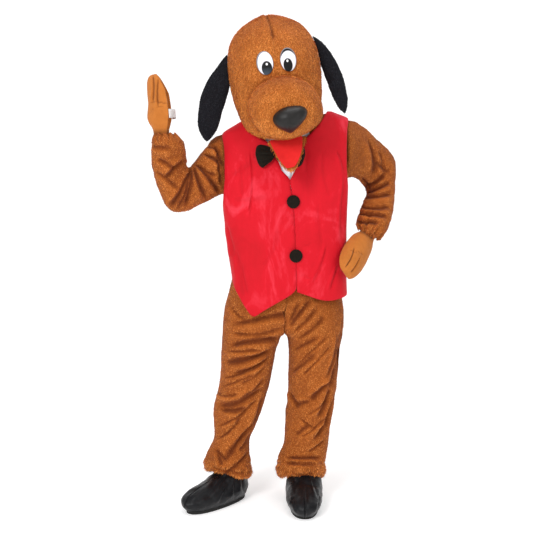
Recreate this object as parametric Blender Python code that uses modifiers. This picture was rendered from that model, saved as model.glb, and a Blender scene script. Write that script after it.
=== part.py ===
"""A dog costume as it is worn: hollow head, plush jumpsuit, vest, bow tie, mitts and shoe covers.

Metres, +Z up. The costume faces -Y, so +X is the wearer's left. Heights in the tables are above
the floor, and the empty costume_origin lowers the whole so that the origin lies between the
shoulders. Every cloth piece is a wall between two grids of points that a loop works out from a
short table of sections.
"""
import math
from collections import namedtuple

import bmesh
import bpy
from mathutils import Euler, Matrix, Vector

SHOULDER_HEIGHT = 1.400
SEAM_GAP = 0.0005
LAID_GAP = 0.0006
PLUSH_WALL = 0.002
VEST_WALL = 0.0015
SHIRT_WALL = 0.0012
HEAD_WALL = 0.008
MITT_WALL = 0.009
COVER_WALL = 0.002
STRAP_WALL = 0.0015

CENTRE_X = 0.004
SHOULDER_TILT = 0.12
TILT_START = 0.95
TILT_FULL = 1.15
PROBE = 1e-4
SHARP_EDGE = math.radians(50)

Finish = namedtuple("Finish", "name colour roughness")
PLUSH = Finish("brown_plush", (0.42, 0.135, 0.03), 0.95)
MITT_PLUSH = Finish("tan_plush", (0.60, 0.27, 0.085), 0.9)
BLACK_PLUSH = Finish("black_plush", (0.012, 0.012, 0.018), 0.9)
VELVET = Finish("red_velvet", (0.70, 0.018, 0.03), 0.75)
RED_SATIN = Finish("red_satin", (0.66, 0.03, 0.035), 0.4)
RED_LINING = Finish("red_lining", (0.75, 0.012, 0.02), 0.7)
WHITE_SATIN = Finish("white_satin", (0.82, 0.83, 0.87), 0.35)
BLACK_SATIN = Finish("black_satin", (0.012, 0.011, 0.011), 0.4)
BLACK_VELVET = Finish("black_velvet", (0.010, 0.008, 0.007), 0.85)
WHITE_ELASTIC = Finish("white_elastic", (0.80, 0.80, 0.78), 0.7)
EYE_CLOTH = Finish("eye_cloth", (0.86, 0.86, 0.92), 0.4)
SOLE_RUBBER = Finish("sole_rubber", (0.015, 0.015, 0.015), 0.7)


# Curves through a table
def slope(rows, index, column):
    low = rows[max(index - 1, 0)]
    high = rows[min(index + 1, len(rows) - 1)]
    return (high[column] - low[column]) / (high[0] - low[0])


def at(rows, place):
    """The row of a table at this place in its first column, on a smooth curve through the rows."""
    place = min(max(place, rows[0][0]), rows[-1][0])
    index = max(i for i in range(len(rows) - 1) if rows[i][0] <= place)
    low, high = rows[index], rows[index + 1]
    span = high[0] - low[0]
    part = (place - low[0]) / span
    ease = part * part * (3 - 2 * part)
    rise_low = part * (1 - part) ** 2 * span
    rise_high = -part * part * (1 - part) * span
    values = [
        low[c] + (high[c] - low[c]) * ease
        + slope(rows, index, c) * rise_low
        + slope(rows, index + 1, c) * rise_high
        for c in range(len(low))
    ]
    return type(low)(*values)


def spread(first, last, count):
    """Evenly spaced numbers from first to last."""
    return [first + (last - first) * i / (count - 1) for i in range(count)]


def eased(value, start, full):
    part = min(max((value - start) / (full - start), 0.0), 1.0)
    return part * part * (3 - 2 * part)


def swell(along, start):
    """How deep a fold is at this share of its length, start being where its ends lie on a half wave."""
    return math.sin(math.pi * (start + (1 - 2 * start) * along))


def rounded(value, squareness):
    """A sine or cosine bent towards the corners of a box as squareness grows above 2."""
    return math.copysign(abs(value) ** (2 / squareness), value)


# Walls and solids
def material_of(finish):
    found = bpy.data.materials.get(finish.name)
    if found:
        return found
    made = bpy.data.materials.new(finish.name)
    made.use_nodes = True
    shader = made.node_tree.nodes["Principled BSDF"]
    shader.inputs["Base Color"].default_value = (*finish.colour, 1)
    shader.inputs["Roughness"].default_value = finish.roughness
    shader.inputs["Metallic"].default_value = 0.0
    made.diffuse_color = (*finish.colour, 1)
    return made


def add_object(name, data, finish, parent):
    made = bpy.data.objects.new(name, data)
    made.parent = parent
    data.materials.append(material_of(finish))
    bpy.data.collections["dog_costume"].objects.link(made)
    return made


def mesh_object(name, shape, finish, parent):
    """A mesh object from a bmesh, its faces turned outwards."""
    if shape.calc_volume(signed=True) < 0:
        bmesh.ops.reverse_faces(shape, faces=shape.faces)
    data = bpy.data.meshes.new(name)
    shape.to_mesh(data)
    shape.free()
    data.shade_smooth()
    data.set_sharp_from_angle(angle=SHARP_EDGE)
    return add_object(name, data, finish, parent)


def wall(name, outer, inner, finish, parent, closed=False, poles=None):
    """A wall between two grids, joined round its edges. Each four points of the outer grid are cut on
    their shorter diagonal, and the inner ones on the same, so that a thin wall keeps its thickness.
    closed joins the last column to the first, and poles gives the outer and inner point that the last
    rings close on."""
    shape = bmesh.new()
    skin, back = ([[shape.verts.new(point) for point in ring] for ring in grid] for grid in (outer, inner))
    columns = len(outer[0])
    pairs = [(j, j + 1) for j in range(columns - 1)]
    if closed:
        pairs.append((columns - 1, 0))
    for low, high, low_back, high_back in zip(skin, skin[1:], back, back[1:]):
        for j, k in pairs:
            patch = (low[j], low[k], high[k], high[j])
            lining = (low_back[j], low_back[k], high_back[k], high_back[j])
            rising, falling = ((patch[i].co - patch[i + 2].co).length for i in (0, 1))
            for cut in ((0, 1, 2), (0, 2, 3)) if rising < falling else ((0, 1, 3), (1, 2, 3)):
                shape.faces.new([patch[i] for i in cut])
                shape.faces.new([lining[i] for i in reversed(cut)])
    for j, k in pairs:
        shape.faces.new((skin[0][k], skin[0][j], back[0][j], back[0][k]))
    ends = [shape.verts.new(point) for point in poles] if poles else None
    for j, k in pairs:
        if ends:
            shape.faces.new((skin[-1][j], skin[-1][k], ends[0]))
            shape.faces.new((back[-1][k], back[-1][j], ends[1]))
        else:
            shape.faces.new((skin[-1][j], skin[-1][k], back[-1][k], back[-1][j]))
    if not closed:
        first = [(ring[0], inside[0]) for ring, inside in zip(skin, back)]
        last = [(ring[-1], inside[-1]) for ring, inside in zip(skin, back)]
        if ends:
            first.append(tuple(ends))
            last.append(tuple(ends))
        for low, high in zip(first, first[1:]):
            shape.faces.new((low[0], high[0], high[1], low[1]))
        for low, high in zip(last, last[1:]):
            shape.faces.new((high[0], low[0], low[1], high[1]))
    return mesh_object(name, shape, finish, parent)


def pad(name, rings, ends, finish, parent):
    """A closed stuffed form: rings one after another between two end points."""
    shape = bmesh.new()
    loops = [[shape.verts.new(point) for point in ring] for ring in rings]
    start, end = (shape.verts.new(point) for point in ends)
    count = len(rings[0])
    for j in range(count):
        k = (j + 1) % count
        shape.faces.new((loops[0][k], loops[0][j], start))
        for low, high in zip(loops, loops[1:]):
            shape.faces.new((low[j], low[k], high[k], high[j]))
        shape.faces.new((loops[-1][j], loops[-1][k], end))
    return mesh_object(name, shape, finish, parent)


def surface_normal(surface, u, v, outside):
    """Unit normal of a surface of two values, on the side that faces away from outside's point."""
    here = surface(u, v)
    across = surface(u + PROBE, v) - surface(u - PROBE, v)
    along = surface(u, v + PROBE) - surface(u, v - PROBE)
    normal = across.cross(along).normalized()
    return normal if normal.dot(here - outside) > 0 else -normal


# The jumpsuit, cut as four panels that each run from a hem to the neck
SuitRow = namedtuple("SuitRow", "height outer_x inner_x centre_x front_y back_y")
RIGHT_LEG = [
    SuitRow(0.068, -0.294, -0.134, -0.214, -0.096, 0.062),
    SuitRow(0.092, -0.301, -0.131, -0.216, -0.098, 0.064),
    SuitRow(0.137, -0.304, -0.128, -0.216, -0.100, 0.064),
    SuitRow(0.176, -0.296, -0.134, -0.215, -0.092, 0.066),
    SuitRow(0.222, -0.266, -0.138, -0.202, -0.080, 0.068),
    SuitRow(0.262, -0.268, -0.116, -0.192, -0.083, 0.074),
    SuitRow(0.310, -0.270, -0.095, -0.182, -0.088, 0.080),
    SuitRow(0.361, -0.268, -0.079, -0.173, -0.094, 0.084),
    SuitRow(0.407, -0.253, -0.067, -0.160, -0.098, 0.088),
    SuitRow(0.453, -0.246, -0.053, -0.150, -0.100, 0.092),
    SuitRow(0.499, -0.240, -0.046, -0.143, -0.104, 0.098),
    SuitRow(0.550, -0.240, -0.038, -0.139, -0.108, 0.106),
    SuitRow(0.600, -0.237, -0.022, -0.130, -0.110, 0.114),
    SuitRow(0.635, -0.234, -0.004, -0.119, -0.111, 0.120),
    SuitRow(0.670, -0.233, 0.004, -0.095, -0.113, 0.126),
    SuitRow(0.710, -0.232, 0.004, -0.060, -0.114, 0.130),
    SuitRow(0.750, -0.228, 0.004, -0.025, -0.113, 0.130),
    SuitRow(0.790, -0.208, 0.004, 0.004, -0.112, 0.124),
    SuitRow(0.835, -0.189, 0.004, 0.004, -0.111, 0.112),
]
LEFT_LEG = [
    SuitRow(0.062, 0.140, -0.010, 0.065, -0.108, 0.050),
    SuitRow(0.086, 0.145, -0.022, 0.0615, -0.114, 0.054),
    SuitRow(0.130, 0.149, -0.030, 0.060, -0.110, 0.056),
    SuitRow(0.163, 0.158, -0.025, 0.066, -0.098, 0.060),
    SuitRow(0.205, 0.164, -0.003, 0.081, -0.090, 0.064),
    SuitRow(0.260, 0.169, 0.001, 0.085, -0.088, 0.070),
    SuitRow(0.330, 0.182, 0.003, 0.092, -0.091, 0.080),
    SuitRow(0.385, 0.191, 0.013, 0.102, -0.095, 0.086),
    SuitRow(0.453, 0.198, 0.012, 0.105, -0.100, 0.092),
    SuitRow(0.521, 0.203, 0.014, 0.109, -0.104, 0.100),
    SuitRow(0.590, 0.211, 0.012, 0.112, -0.109, 0.112),
    SuitRow(0.635, 0.220, 0.007, 0.1135, -0.111, 0.120),
    SuitRow(0.670, 0.224, 0.004, 0.096, -0.113, 0.126),
    SuitRow(0.710, 0.225, 0.004, 0.064, -0.114, 0.130),
    SuitRow(0.750, 0.221, 0.004, 0.031, -0.113, 0.130),
    SuitRow(0.790, 0.209, 0.004, 0.004, -0.112, 0.124),
    SuitRow(0.835, 0.197, 0.004, 0.004, -0.111, 0.112),
]
BodyRow = namedtuple("BodyRow", "height half_width front_y back_y")
BODY = [
    BodyRow(0.890, 0.194, -0.115, 0.104),
    BodyRow(0.950, 0.202, -0.120, 0.102),
    BodyRow(1.020, 0.208, -0.126, 0.104),
    BodyRow(1.095, 0.212, -0.132, 0.110),
    BodyRow(1.165, 0.214, -0.135, 0.114),
    BodyRow(1.230, 0.212, -0.130, 0.117),
    BodyRow(1.300, 0.209, -0.115, 0.117),
    BodyRow(1.355, 0.207, -0.094, 0.110),
    BodyRow(1.400, 0.204, -0.072, 0.094),
    BodyRow(1.420, 0.158, -0.062, 0.084),
    BodyRow(1.435, 0.115, -0.056, 0.076),
    BodyRow(1.450, 0.088, -0.052, 0.070),
    BodyRow(1.462, 0.076, -0.050, 0.066),
]
CROTCH_HEIGHT = 0.635
ARMHOLE_LOW, ARMHOLE_HIGH = 1.170, 1.400
ARMHOLE_TURN = 0.105
ARMHOLE_RINGS = 9
NECK_HEIGHT = 1.462
SHOULDER_HEIGHTS = [1.418, 1.434, 1.449]
PANEL_COLUMNS = 9
LEG_RINGS = 18
BODY_RINGS = 8
HEM_GATHER = 0.0035
HEM_GATHER_REACH = 0.045
HEM_RISE = 0.050
HEM_RISE_REACH = 0.14
HEM_RISE_SHARPNESS = 1.5
HEM_RISE_TURNS = {-1: 0.34, 1: 0.25}
HALF_GIRTH = 0.60
SEAM_CALM = 0.06
FOLD_START = 0.12
CREASE_START = 0.15

Fold = namedtuple("Fold", "turn height turn_end height_end depth width")
RIGHT_LEG_FOLDS = [
    Fold(0.33, 0.66, 0.16, 0.70, -0.009, 0.022),
    Fold(0.40, 0.60, 0.20, 0.655, -0.008, 0.022),
    Fold(0.42, 0.545, 0.10, 0.59, -0.010, 0.024),
    Fold(0.45, 0.385, 0.10, 0.455, -0.011, 0.022),
    Fold(0.40, 0.355, 0.22, 0.385, -0.007, 0.018),
    Fold(0.06, 0.43, 0.34, 0.19, -0.011, 0.022),
    Fold(0.12, 0.50, 0.36, 0.45, 0.007, 0.026),
    Fold(0.08, 0.225, 0.42, 0.185, -0.012, 0.018),
    Fold(0.30, 0.120, 0.62, 0.115, -0.008, 0.016),
    Fold(0.60, 0.220, 0.94, 0.190, -0.011, 0.018),
    Fold(0.62, 0.40, 0.90, 0.46, -0.010, 0.022),
    Fold(0.60, 0.55, 0.88, 0.62, -0.009, 0.024),
    Fold(0.66, 0.33, 0.92, 0.30, -0.007, 0.018),
]
LEFT_LEG_FOLDS = [
    Fold(0.05, 0.655, 0.30, 0.745, -0.008, 0.024),
    Fold(0.10, 0.60, 0.34, 0.68, -0.007, 0.022),
    Fold(0.42, 0.60, 0.36, 0.26, -0.010, 0.024),
    Fold(0.35, 0.475, 0.06, 0.385, -0.009, 0.022),
    Fold(0.10, 0.43, 0.32, 0.40, -0.007, 0.018),
    Fold(0.05, 0.215, 0.40, 0.185, -0.010, 0.018),
    Fold(0.10, 0.120, 0.40, 0.112, -0.008, 0.016),
    Fold(0.60, 0.210, 0.94, 0.190, -0.010, 0.018),
    Fold(0.62, 0.42, 0.90, 0.47, -0.010, 0.022),
    Fold(0.60, 0.57, 0.88, 0.63, -0.009, 0.024),
    Fold(0.66, 0.32, 0.92, 0.29, -0.007, 0.018),
]


def body_rows(side):
    """The body's table as suit rows of one half, side -1 being the wearer's right."""
    return [
        SuitRow(row.height, CENTRE_X + side * row.half_width, CENTRE_X, CENTRE_X, row.front_y, row.back_y)
        for row in BODY
    ]


def tilted(x, height):
    """The shoulders slope: everything above the waist rises towards the wearer's left."""
    return height + SHOULDER_TILT * (x - CENTRE_X) * eased(height, TILT_START, TILT_FULL)


def suit_surface(rows, side):
    """Point of one suit half: turn 0 is the inseam or centre front, 0.5 the side, 1 the centre back."""
    edge_x = CENTRE_X + side * SEAM_GAP / 2

    def surface(turn, height):
        row = at(rows, height)
        centre_x = side * max(side * row.centre_x, side * CENTRE_X)
        reach = side * (row.outer_x - centre_x)
        inner_x = row.inner_x
        if height > CROTCH_HEIGHT:
            inner_x = side * max(side * inner_x, side * edge_x)
        start = math.acos(min(max(side * (centre_x - inner_x) / reach, 0.0), 1.0))
        angle = start + turn * 2 * (math.pi - start)
        x = centre_x - side * reach * math.cos(angle)
        middle_y, half_depth = (row.front_y + row.back_y) / 2, (row.back_y - row.front_y) / 2
        return Vector((x, middle_y - half_depth * math.sin(angle), tilted(x, height)))

    return surface


def fold_lift(folds, turn, height):
    """How far the folds move this point out of the smooth surface."""
    lift = 0.0
    for fold in folds:
        run = Vector(((fold.turn_end - fold.turn) * HALF_GIRTH, fold.height_end - fold.height))
        away = Vector(((turn - fold.turn) * HALF_GIRTH, height - fold.height))
        along = min(max(away.dot(run) / run.length_squared, 0.0), 1.0)
        distance = (away - run * along).length
        lift += fold.depth * swell(along, FOLD_START) * math.exp(-((distance / fold.width) ** 2))
    return lift


def suit_heights(hem_height):
    """Ring heights from a hem to the neck, closer together round the armhole."""
    leg = spread(hem_height, CROTCH_HEIGHT, LEG_RINGS)
    body = spread(CROTCH_HEIGHT, ARMHOLE_LOW, BODY_RINGS)[1:-1]
    middle, reach = (ARMHOLE_LOW + ARMHOLE_HIGH) / 2, (ARMHOLE_HIGH - ARMHOLE_LOW) / 2
    armhole = [middle - reach * math.cos(math.pi * k / (ARMHOLE_RINGS - 1)) for k in range(ARMHOLE_RINGS)]
    return leg + body + armhole + SHOULDER_HEIGHTS + [NECK_HEIGHT]


def hem_rise(side, turn, above_hem):
    """The hem lies higher where the leg rests on the instep of the shoe."""
    bump = (0.5 + 0.5 * math.cos(2 * math.pi * (turn - HEM_RISE_TURNS[side]))) ** HEM_RISE_SHARPNESS
    return HEM_RISE * bump * max(0.0, 1 - above_hem / HEM_RISE_REACH) ** 2


def armhole_turn(height):
    """How far the panel edges draw back from the side seam at this height, as a share of a half turn."""
    middle, reach = (ARMHOLE_LOW + ARMHOLE_HIGH) / 2, (ARMHOLE_HIGH - ARMHOLE_LOW) / 2
    part = 1 - ((height - middle) / reach) ** 2
    return ARMHOLE_TURN * math.sqrt(part) if part > 0 else 0.0


def suit_point_pair(surface, folds, gather, turn, height):
    """Outer and inner point of the suit's wall, folds and gathers fading out at the inner seam."""
    seam_fade = min(turn, 1 - turn, SEAM_CALM) / SEAM_CALM
    lift = (fold_lift(folds, turn, height) + HEM_GATHER * gather) * seam_fade
    inside = Vector((surface(0.0, height).x, 0.0, height)).lerp(surface(0.5, height), 0.5)
    inside.y = 0.0
    normal = surface_normal(surface, turn, height, inside)
    point = surface(turn, height)
    return point + normal * lift, point + normal * (lift - PLUSH_WALL)


def suit_half(side, rows, folds, names, parent):
    """Front and back panel of one half, from the hem to the neck."""
    hem_height = rows[0].height
    surface = suit_surface(rows, side)
    heights = suit_heights(hem_height)
    for name, is_back in zip(names, (False, True)):
        outer, inner = [], []
        for height in heights:
            girth = (surface(0.25 + 0.5 * is_back + 0.01, height) - surface(0.25 + 0.5 * is_back, height)).length
            slip = SEAM_GAP / 2 * 0.01 / girth
            draw = armhole_turn(height)
            if is_back:
                turns = spread(0.5 + draw + slip, 1 - slip, PANEL_COLUMNS)
            else:
                turns = spread(slip, 0.5 - draw - slip, PANEL_COLUMNS)
            pairs = []
            for j, turn in enumerate(turns):
                settled = height + hem_rise(side, turn, height - hem_height)
                gather = max(0.0, 1 - (height - hem_height) / HEM_GATHER_REACH) * (-1) ** j
                pairs.append(suit_point_pair(surface, folds, gather, turn, settled))
            outer.append([pair[0] for pair in pairs])
            inner.append([pair[1] for pair in pairs])
        wall(name, outer, inner, PLUSH, parent)
    return surface, heights


def add_suit(parent):
    right_rows = RIGHT_LEG + body_rows(-1)
    left_rows = LEFT_LEG + body_rows(1)
    right = suit_half(-1, right_rows, RIGHT_LEG_FOLDS, ("suit_front_right", "suit_back_right"), parent)
    left = suit_half(1, left_rows, LEFT_LEG_FOLDS, ("suit_front_left", "suit_back_left"), parent)
    return right, left


# Sleeves, each from its armhole to a gathered cuff
SleeveRow = namedtuple("SleeveRow", "top_x top_z under_x under_z middle_y half_depth")
RIGHT_SLEEVE = [
    SleeveRow(-0.232, 1.363, -0.236, 1.152, 0.000, 0.084),
    SleeveRow(-0.263, 1.350, -0.268, 1.134, -0.010, 0.084),
    SleeveRow(-0.288, 1.327, -0.300, 1.116, -0.022, 0.083),
    SleeveRow(-0.312, 1.299, -0.336, 1.098, -0.035, 0.081),
    SleeveRow(-0.332, 1.271, -0.375, 1.083, -0.050, 0.077),
    SleeveRow(-0.345, 1.256, -0.411, 1.084, -0.065, 0.073),
    SleeveRow(-0.350, 1.258, -0.438, 1.111, -0.080, 0.069),
    SleeveRow(-0.350, 1.270, -0.458, 1.162, -0.100, 0.066),
    SleeveRow(-0.352, 1.287, -0.473, 1.216, -0.123, 0.063),
    SleeveRow(-0.353, 1.304, -0.477, 1.258, -0.142, 0.061),
    SleeveRow(-0.357, 1.320, -0.475, 1.299, -0.160, 0.060),
    SleeveRow(-0.362, 1.338, -0.471, 1.333, -0.172, 0.057),
    SleeveRow(-0.377, 1.354, -0.465, 1.352, -0.179, 0.048),
    SleeveRow(-0.385, 1.364, -0.459, 1.362, -0.181, 0.040),
]
LEFT_SLEEVE = [
    SleeveRow(0.231, 1.414, 0.231, 1.212, 0.004, 0.084),
    SleeveRow(0.256, 1.410, 0.251, 1.214, 0.020, 0.084),
    SleeveRow(0.289, 1.392, 0.268, 1.210, 0.042, 0.082),
    SleeveRow(0.325, 1.372, 0.283, 1.204, 0.064, 0.079),
    SleeveRow(0.361, 1.348, 0.293, 1.191, 0.086, 0.075),
    SleeveRow(0.398, 1.320, 0.302, 1.174, 0.103, 0.071),
    SleeveRow(0.424, 1.286, 0.310, 1.159, 0.110, 0.067),
    SleeveRow(0.426, 1.243, 0.312, 1.147, 0.103, 0.064),
    SleeveRow(0.422, 1.193, 0.301, 1.132, 0.086, 0.062),
    SleeveRow(0.418, 1.144, 0.289, 1.110, 0.064, 0.061),
    SleeveRow(0.412, 1.098, 0.282, 1.083, 0.042, 0.060),
    SleeveRow(0.400, 1.054, 0.269, 1.058, 0.020, 0.058),
    SleeveRow(0.380, 1.012, 0.265, 1.036, 0.000, 0.050),
    SleeveRow(0.357, 0.977, 0.272, 1.019, -0.016, 0.042),
]
SLEEVE_GAP = 0.0008
SLEEVE_RINGS = 19
SLEEVE_FOLD_SPAN = 0.03
SLEEVE_FOLD_SCALE = 0.4
CUFF_GATHER = 0.0025
CUFF_GATHER_REACH = 1.2
IndexedSleeve = namedtuple("IndexedSleeve", "station top_x top_z under_x under_z middle_y half_depth")
SleeveFold = namedtuple("SleeveFold", "turn station turn_end station_end depth width")
RIGHT_SLEEVE_FOLDS = [
    SleeveFold(0.98, 5.6, 0.62, 4.2, -0.009, 0.020),
    SleeveFold(0.98, 6.2, 0.62, 6.4, -0.010, 0.020),
    SleeveFold(0.02, 5.6, 0.38, 4.4, -0.008, 0.020),
    SleeveFold(0.02, 6.4, 0.40, 7.2, -0.009, 0.020),
    SleeveFold(0.88, 3.4, 0.62, 1.6, -0.007, 0.020),
    SleeveFold(0.78, 9.5, 0.60, 8.0, -0.006, 0.018),
    SleeveFold(0.95, 2.2, 0.80, 1.4, -0.006, 0.018),
]
LEFT_SLEEVE_FOLDS = [
    SleeveFold(0.48, 6.6, 0.16, 5.2, -0.009, 0.020),
    SleeveFold(0.48, 7.4, 0.12, 7.6, -0.010, 0.020),
    SleeveFold(0.52, 6.8, 0.86, 6.0, -0.008, 0.020),
    SleeveFold(0.30, 1.2, 0.20, 3.8, -0.008, 0.022),
    SleeveFold(0.16, 1.4, 0.10, 3.2, -0.007, 0.020),
    SleeveFold(0.36, 10.2, 0.12, 10.0, -0.007, 0.018),
    SleeveFold(0.60, 9.0, 0.84, 9.4, -0.007, 0.018),
]


def armhole_loop(side, surface, heights):
    """The armhole's edge points in turn: top, down one panel's edge, bottom, and up the other's."""
    low = heights.index(min(heights, key=lambda height: abs(height - ARMHOLE_LOW)))
    rings = heights[low:low + ARMHOLE_RINGS]
    front = [surface(0.5 - armhole_turn(height), height) for height in rings]
    back = [surface(0.5 + armhole_turn(height), height) for height in rings]
    first, second = (front, back) if side > 0 else (back, front)
    shift = Vector((side * SLEEVE_GAP, 0, 0))
    return [point + shift for point in first[::-1] + second[1:-1]]


def sleeve_wave(folds, turn, station):
    lift = 0.0
    for fold in folds:
        run = Vector((fold.turn_end - fold.turn, (fold.station_end - fold.station) * SLEEVE_FOLD_SPAN))
        shift = turn - fold.turn
        shift -= round(shift)
        away = Vector((shift, (station - fold.station) * SLEEVE_FOLD_SPAN)) * SLEEVE_FOLD_SCALE
        run = run * SLEEVE_FOLD_SCALE
        along = min(max(away.dot(run) / run.length_squared, 0.0), 1.0)
        distance = (away - run * along).length
        lift += fold.depth * swell(along, CREASE_START) * math.exp(-((distance / fold.width) ** 2))
    return lift


def sleeve(name, side, rows, folds, suit, parent):
    """A closed tube from the armhole's own edge points to the cuff."""
    loop = armhole_loop(side, *suit)
    count = len(loop)
    last = len(rows) - 1
    numbered = [IndexedSleeve(station, *row) for station, row in enumerate(rows)]
    centre = sum(loop, Vector()) / count
    outer = [loop]
    inner = [[point + (centre - point).normalized() * PLUSH_WALL for point in loop]]
    for k in range(SLEEVE_RINGS - 1):
        station = last * k / (SLEEVE_RINGS - 2)
        row = at(numbered, station)
        top, under = Vector((row.top_x, row.middle_y, row.top_z)), Vector((row.under_x, row.middle_y, row.under_z))
        middle, up = (top + under) / 2, (top - under) / 2
        across = Vector((0, -side * row.half_depth, 0))
        gather = CUFF_GATHER * max(0.0, 1 - (last - station) / CUFF_GATHER_REACH)
        ring, lining = [], []
        for j in range(count):
            turn = j / count
            angle = 2 * math.pi * turn
            out = (up * math.cos(angle) / up.length_squared + across * math.sin(angle) / across.length_squared)
            out.normalize()
            lift = sleeve_wave(folds, turn, station) * eased(station, 0.0, 1.0) + gather * (-1) ** j
            point = middle + up * math.cos(angle) + across * math.sin(angle)
            ring.append(point + out * lift)
            lining.append(point + out * (lift - PLUSH_WALL))
        outer.append(ring)
        inner.append(lining)
    wall(name, outer, inner, PLUSH, parent, closed=True)


# The vest, its shirt front and what lies on them
VestRow = namedtuple("VestRow", "height right_x left_x front_y back_y squareness")
VEST = [
    VestRow(0.700, -0.192, 0.234, -0.139, 0.138, 2.6),
    VestRow(0.780, -0.196, 0.234, -0.140, 0.138, 2.6),
    VestRow(0.857, -0.201, 0.229, -0.141, 0.130, 2.6),
    VestRow(0.912, -0.209, 0.227, -0.143, 0.122, 2.6),
    VestRow(0.985, -0.219, 0.229, -0.146, 0.120, 2.6),
    VestRow(1.075, -0.226, 0.230, -0.149, 0.1175, 2.8),
    VestRow(1.130, -0.231, 0.232, -0.151, 0.1190, 3.4),
    VestRow(1.180, -0.233, 0.233, -0.151, 0.1205, 4.0),
    VestRow(1.273, -0.232, 0.232, -0.139, 0.1226, 4.0),
    VestRow(1.350, -0.232, 0.232, -0.113, 0.126, 4.0),
    VestRow(1.405, -0.232, 0.232, -0.086, 0.104, 3.0),
    VestRow(1.424, -0.192, 0.192, -0.076, 0.096, 2.6),
    VestRow(1.438, -0.166, 0.166, -0.070, 0.088, 2.6),
]
VEST_ARMHOLE_LOW, VEST_ARMHOLE_HIGH = 1.125, 1.405
VEST_ARMHOLE_ANGLE = math.radians(26)
VEST_HEM_MIDDLE = 0.790
HEM_EASE = 0.32
EdgeRow = namedtuple("EdgeRow", "height line_x right_open left_open")
VEST_EDGE = [
    EdgeRow(0.700, 0.044, 0.0, 0.0),
    EdgeRow(0.930, 0.037, 0.0, 0.0),
    EdgeRow(1.130, 0.026, 0.0, 0.0),
    EdgeRow(1.200, 0.011, 0.0, 0.0),
    EdgeRow(1.270, 0.011, 0.025, 0.043),
    EdgeRow(1.340, 0.011, 0.076, 0.081),
    EdgeRow(1.400, 0.011, 0.136, 0.119),
    EdgeRow(1.438, 0.011, 0.168, 0.143),
]
HemRow = namedtuple("HemRow", "x height")
FRONT_HEM = [
    HemRow(-0.205, 0.862),
    HemRow(-0.186, 0.812),
    HemRow(-0.155, 0.747),
    HemRow(-0.122, 0.713),
    HemRow(-0.045, 0.751),
    HemRow(0.044, 0.799),
    HemRow(0.103, 0.775),
    HemRow(0.155, 0.764),
    HemRow(0.207, 0.771),
    HemRow(0.235, 0.780),
]
BACK_HEM = [
    HemRow(-0.210, 0.862),
    HemRow(-0.120, 0.815),
    HemRow(0.010, 0.790),
    HemRow(0.130, 0.782),
    HemRow(0.240, 0.780),
]
VEST_COLUMNS = 10
VEST_BACK_COLUMNS = 13
VEST_HEIGHTS = [0.790, 0.825, 0.870, 0.920, 0.975, 1.035, 1.095]
VEST_SHOULDER_HEIGHTS = [1.421, 1.434]
VEST_ARMHOLE_RINGS = 8
Crease = namedtuple("Crease", "x height x_end height_end depth width")
VEST_CREASES = [
    Crease(-0.118, 1.260, -0.128, 1.030, -0.004, 0.014),
    Crease(0.195, 1.270, 0.150, 1.215, -0.005, 0.014),
    Crease(0.150, 0.955, 0.098, 0.835, -0.006, 0.018),
    Crease(0.200, 0.890, 0.165, 0.800, -0.005, 0.016),
    Crease(-0.190, 0.960, -0.110, 0.885, -0.005, 0.018),
    Crease(-0.040, 1.120, 0.020, 1.112, -0.003, 0.014),
]


def vest_surface(angle, height):
    """Point of the vest: angle 0 is the middle of the front and a quarter turn the wearer's left side."""
    row = at(VEST, height)
    reach = row.left_x - CENTRE_X if math.sin(angle) > 0 else CENTRE_X - row.right_x
    x = CENTRE_X + reach * rounded(math.sin(angle), row.squareness)
    middle_y, half_depth = (row.front_y + row.back_y) / 2, (row.back_y - row.front_y) / 2
    y = middle_y - half_depth * rounded(math.cos(angle), row.squareness)
    return Vector((x, y, tilted(x, height)))


def vest_angle(x, height):
    """The angle at which the front of the vest has this x."""
    row = at(VEST, height)
    reach = row.left_x - CENTRE_X if x > CENTRE_X else CENTRE_X - row.right_x
    part = min(abs(x - CENTRE_X) / reach, 1.0)
    return math.copysign(math.asin(part ** (row.squareness / 2)), x - CENTRE_X)


def chest(x, height, lift):
    """The point of the vest's front at this x, moved out by lift."""
    angle = vest_angle(x, height)
    point = vest_surface(angle, height)
    return Vector((x, point.y - lift, point.z))


def vest_armhole(height):
    middle, reach = (VEST_ARMHOLE_LOW + VEST_ARMHOLE_HIGH) / 2, (VEST_ARMHOLE_HIGH - VEST_ARMHOLE_LOW) / 2
    part = 1 - abs((height - middle) / reach) ** 3
    return VEST_ARMHOLE_ANGLE * math.sqrt(part) if part > 0 else 0.0


def vest_rings():
    middle, reach = (VEST_ARMHOLE_LOW + VEST_ARMHOLE_HIGH) / 2, (VEST_ARMHOLE_HIGH - VEST_ARMHOLE_LOW) / 2
    last = VEST_ARMHOLE_RINGS - 1
    armhole = [middle - reach * math.cos(math.pi * k / last) for k in range(VEST_ARMHOLE_RINGS)]
    return VEST_HEIGHTS + armhole + VEST_SHOULDER_HEIGHTS


def hung_height(table, x, height):
    """The ring's height lowered or raised so that the lowest ring follows the hem."""
    ease = max(0.0, 1 - (height - VEST_HEM_MIDDLE) / HEM_EASE) ** 2
    return height + (at(table, x).height - VEST_HEM_MIDDLE) * ease


def crease_lift(x, height):
    lift = 0.0
    for crease in VEST_CREASES:
        run = Vector((crease.x_end - crease.x, crease.height_end - crease.height))
        away = Vector((x - crease.x, height - crease.height))
        along = min(max(away.dot(run) / run.length_squared, 0.0), 1.0)
        distance = (away - run * along).length
        lift += crease.depth * swell(along, CREASE_START) * math.exp(-((distance / crease.width) ** 2))
    return lift


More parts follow.
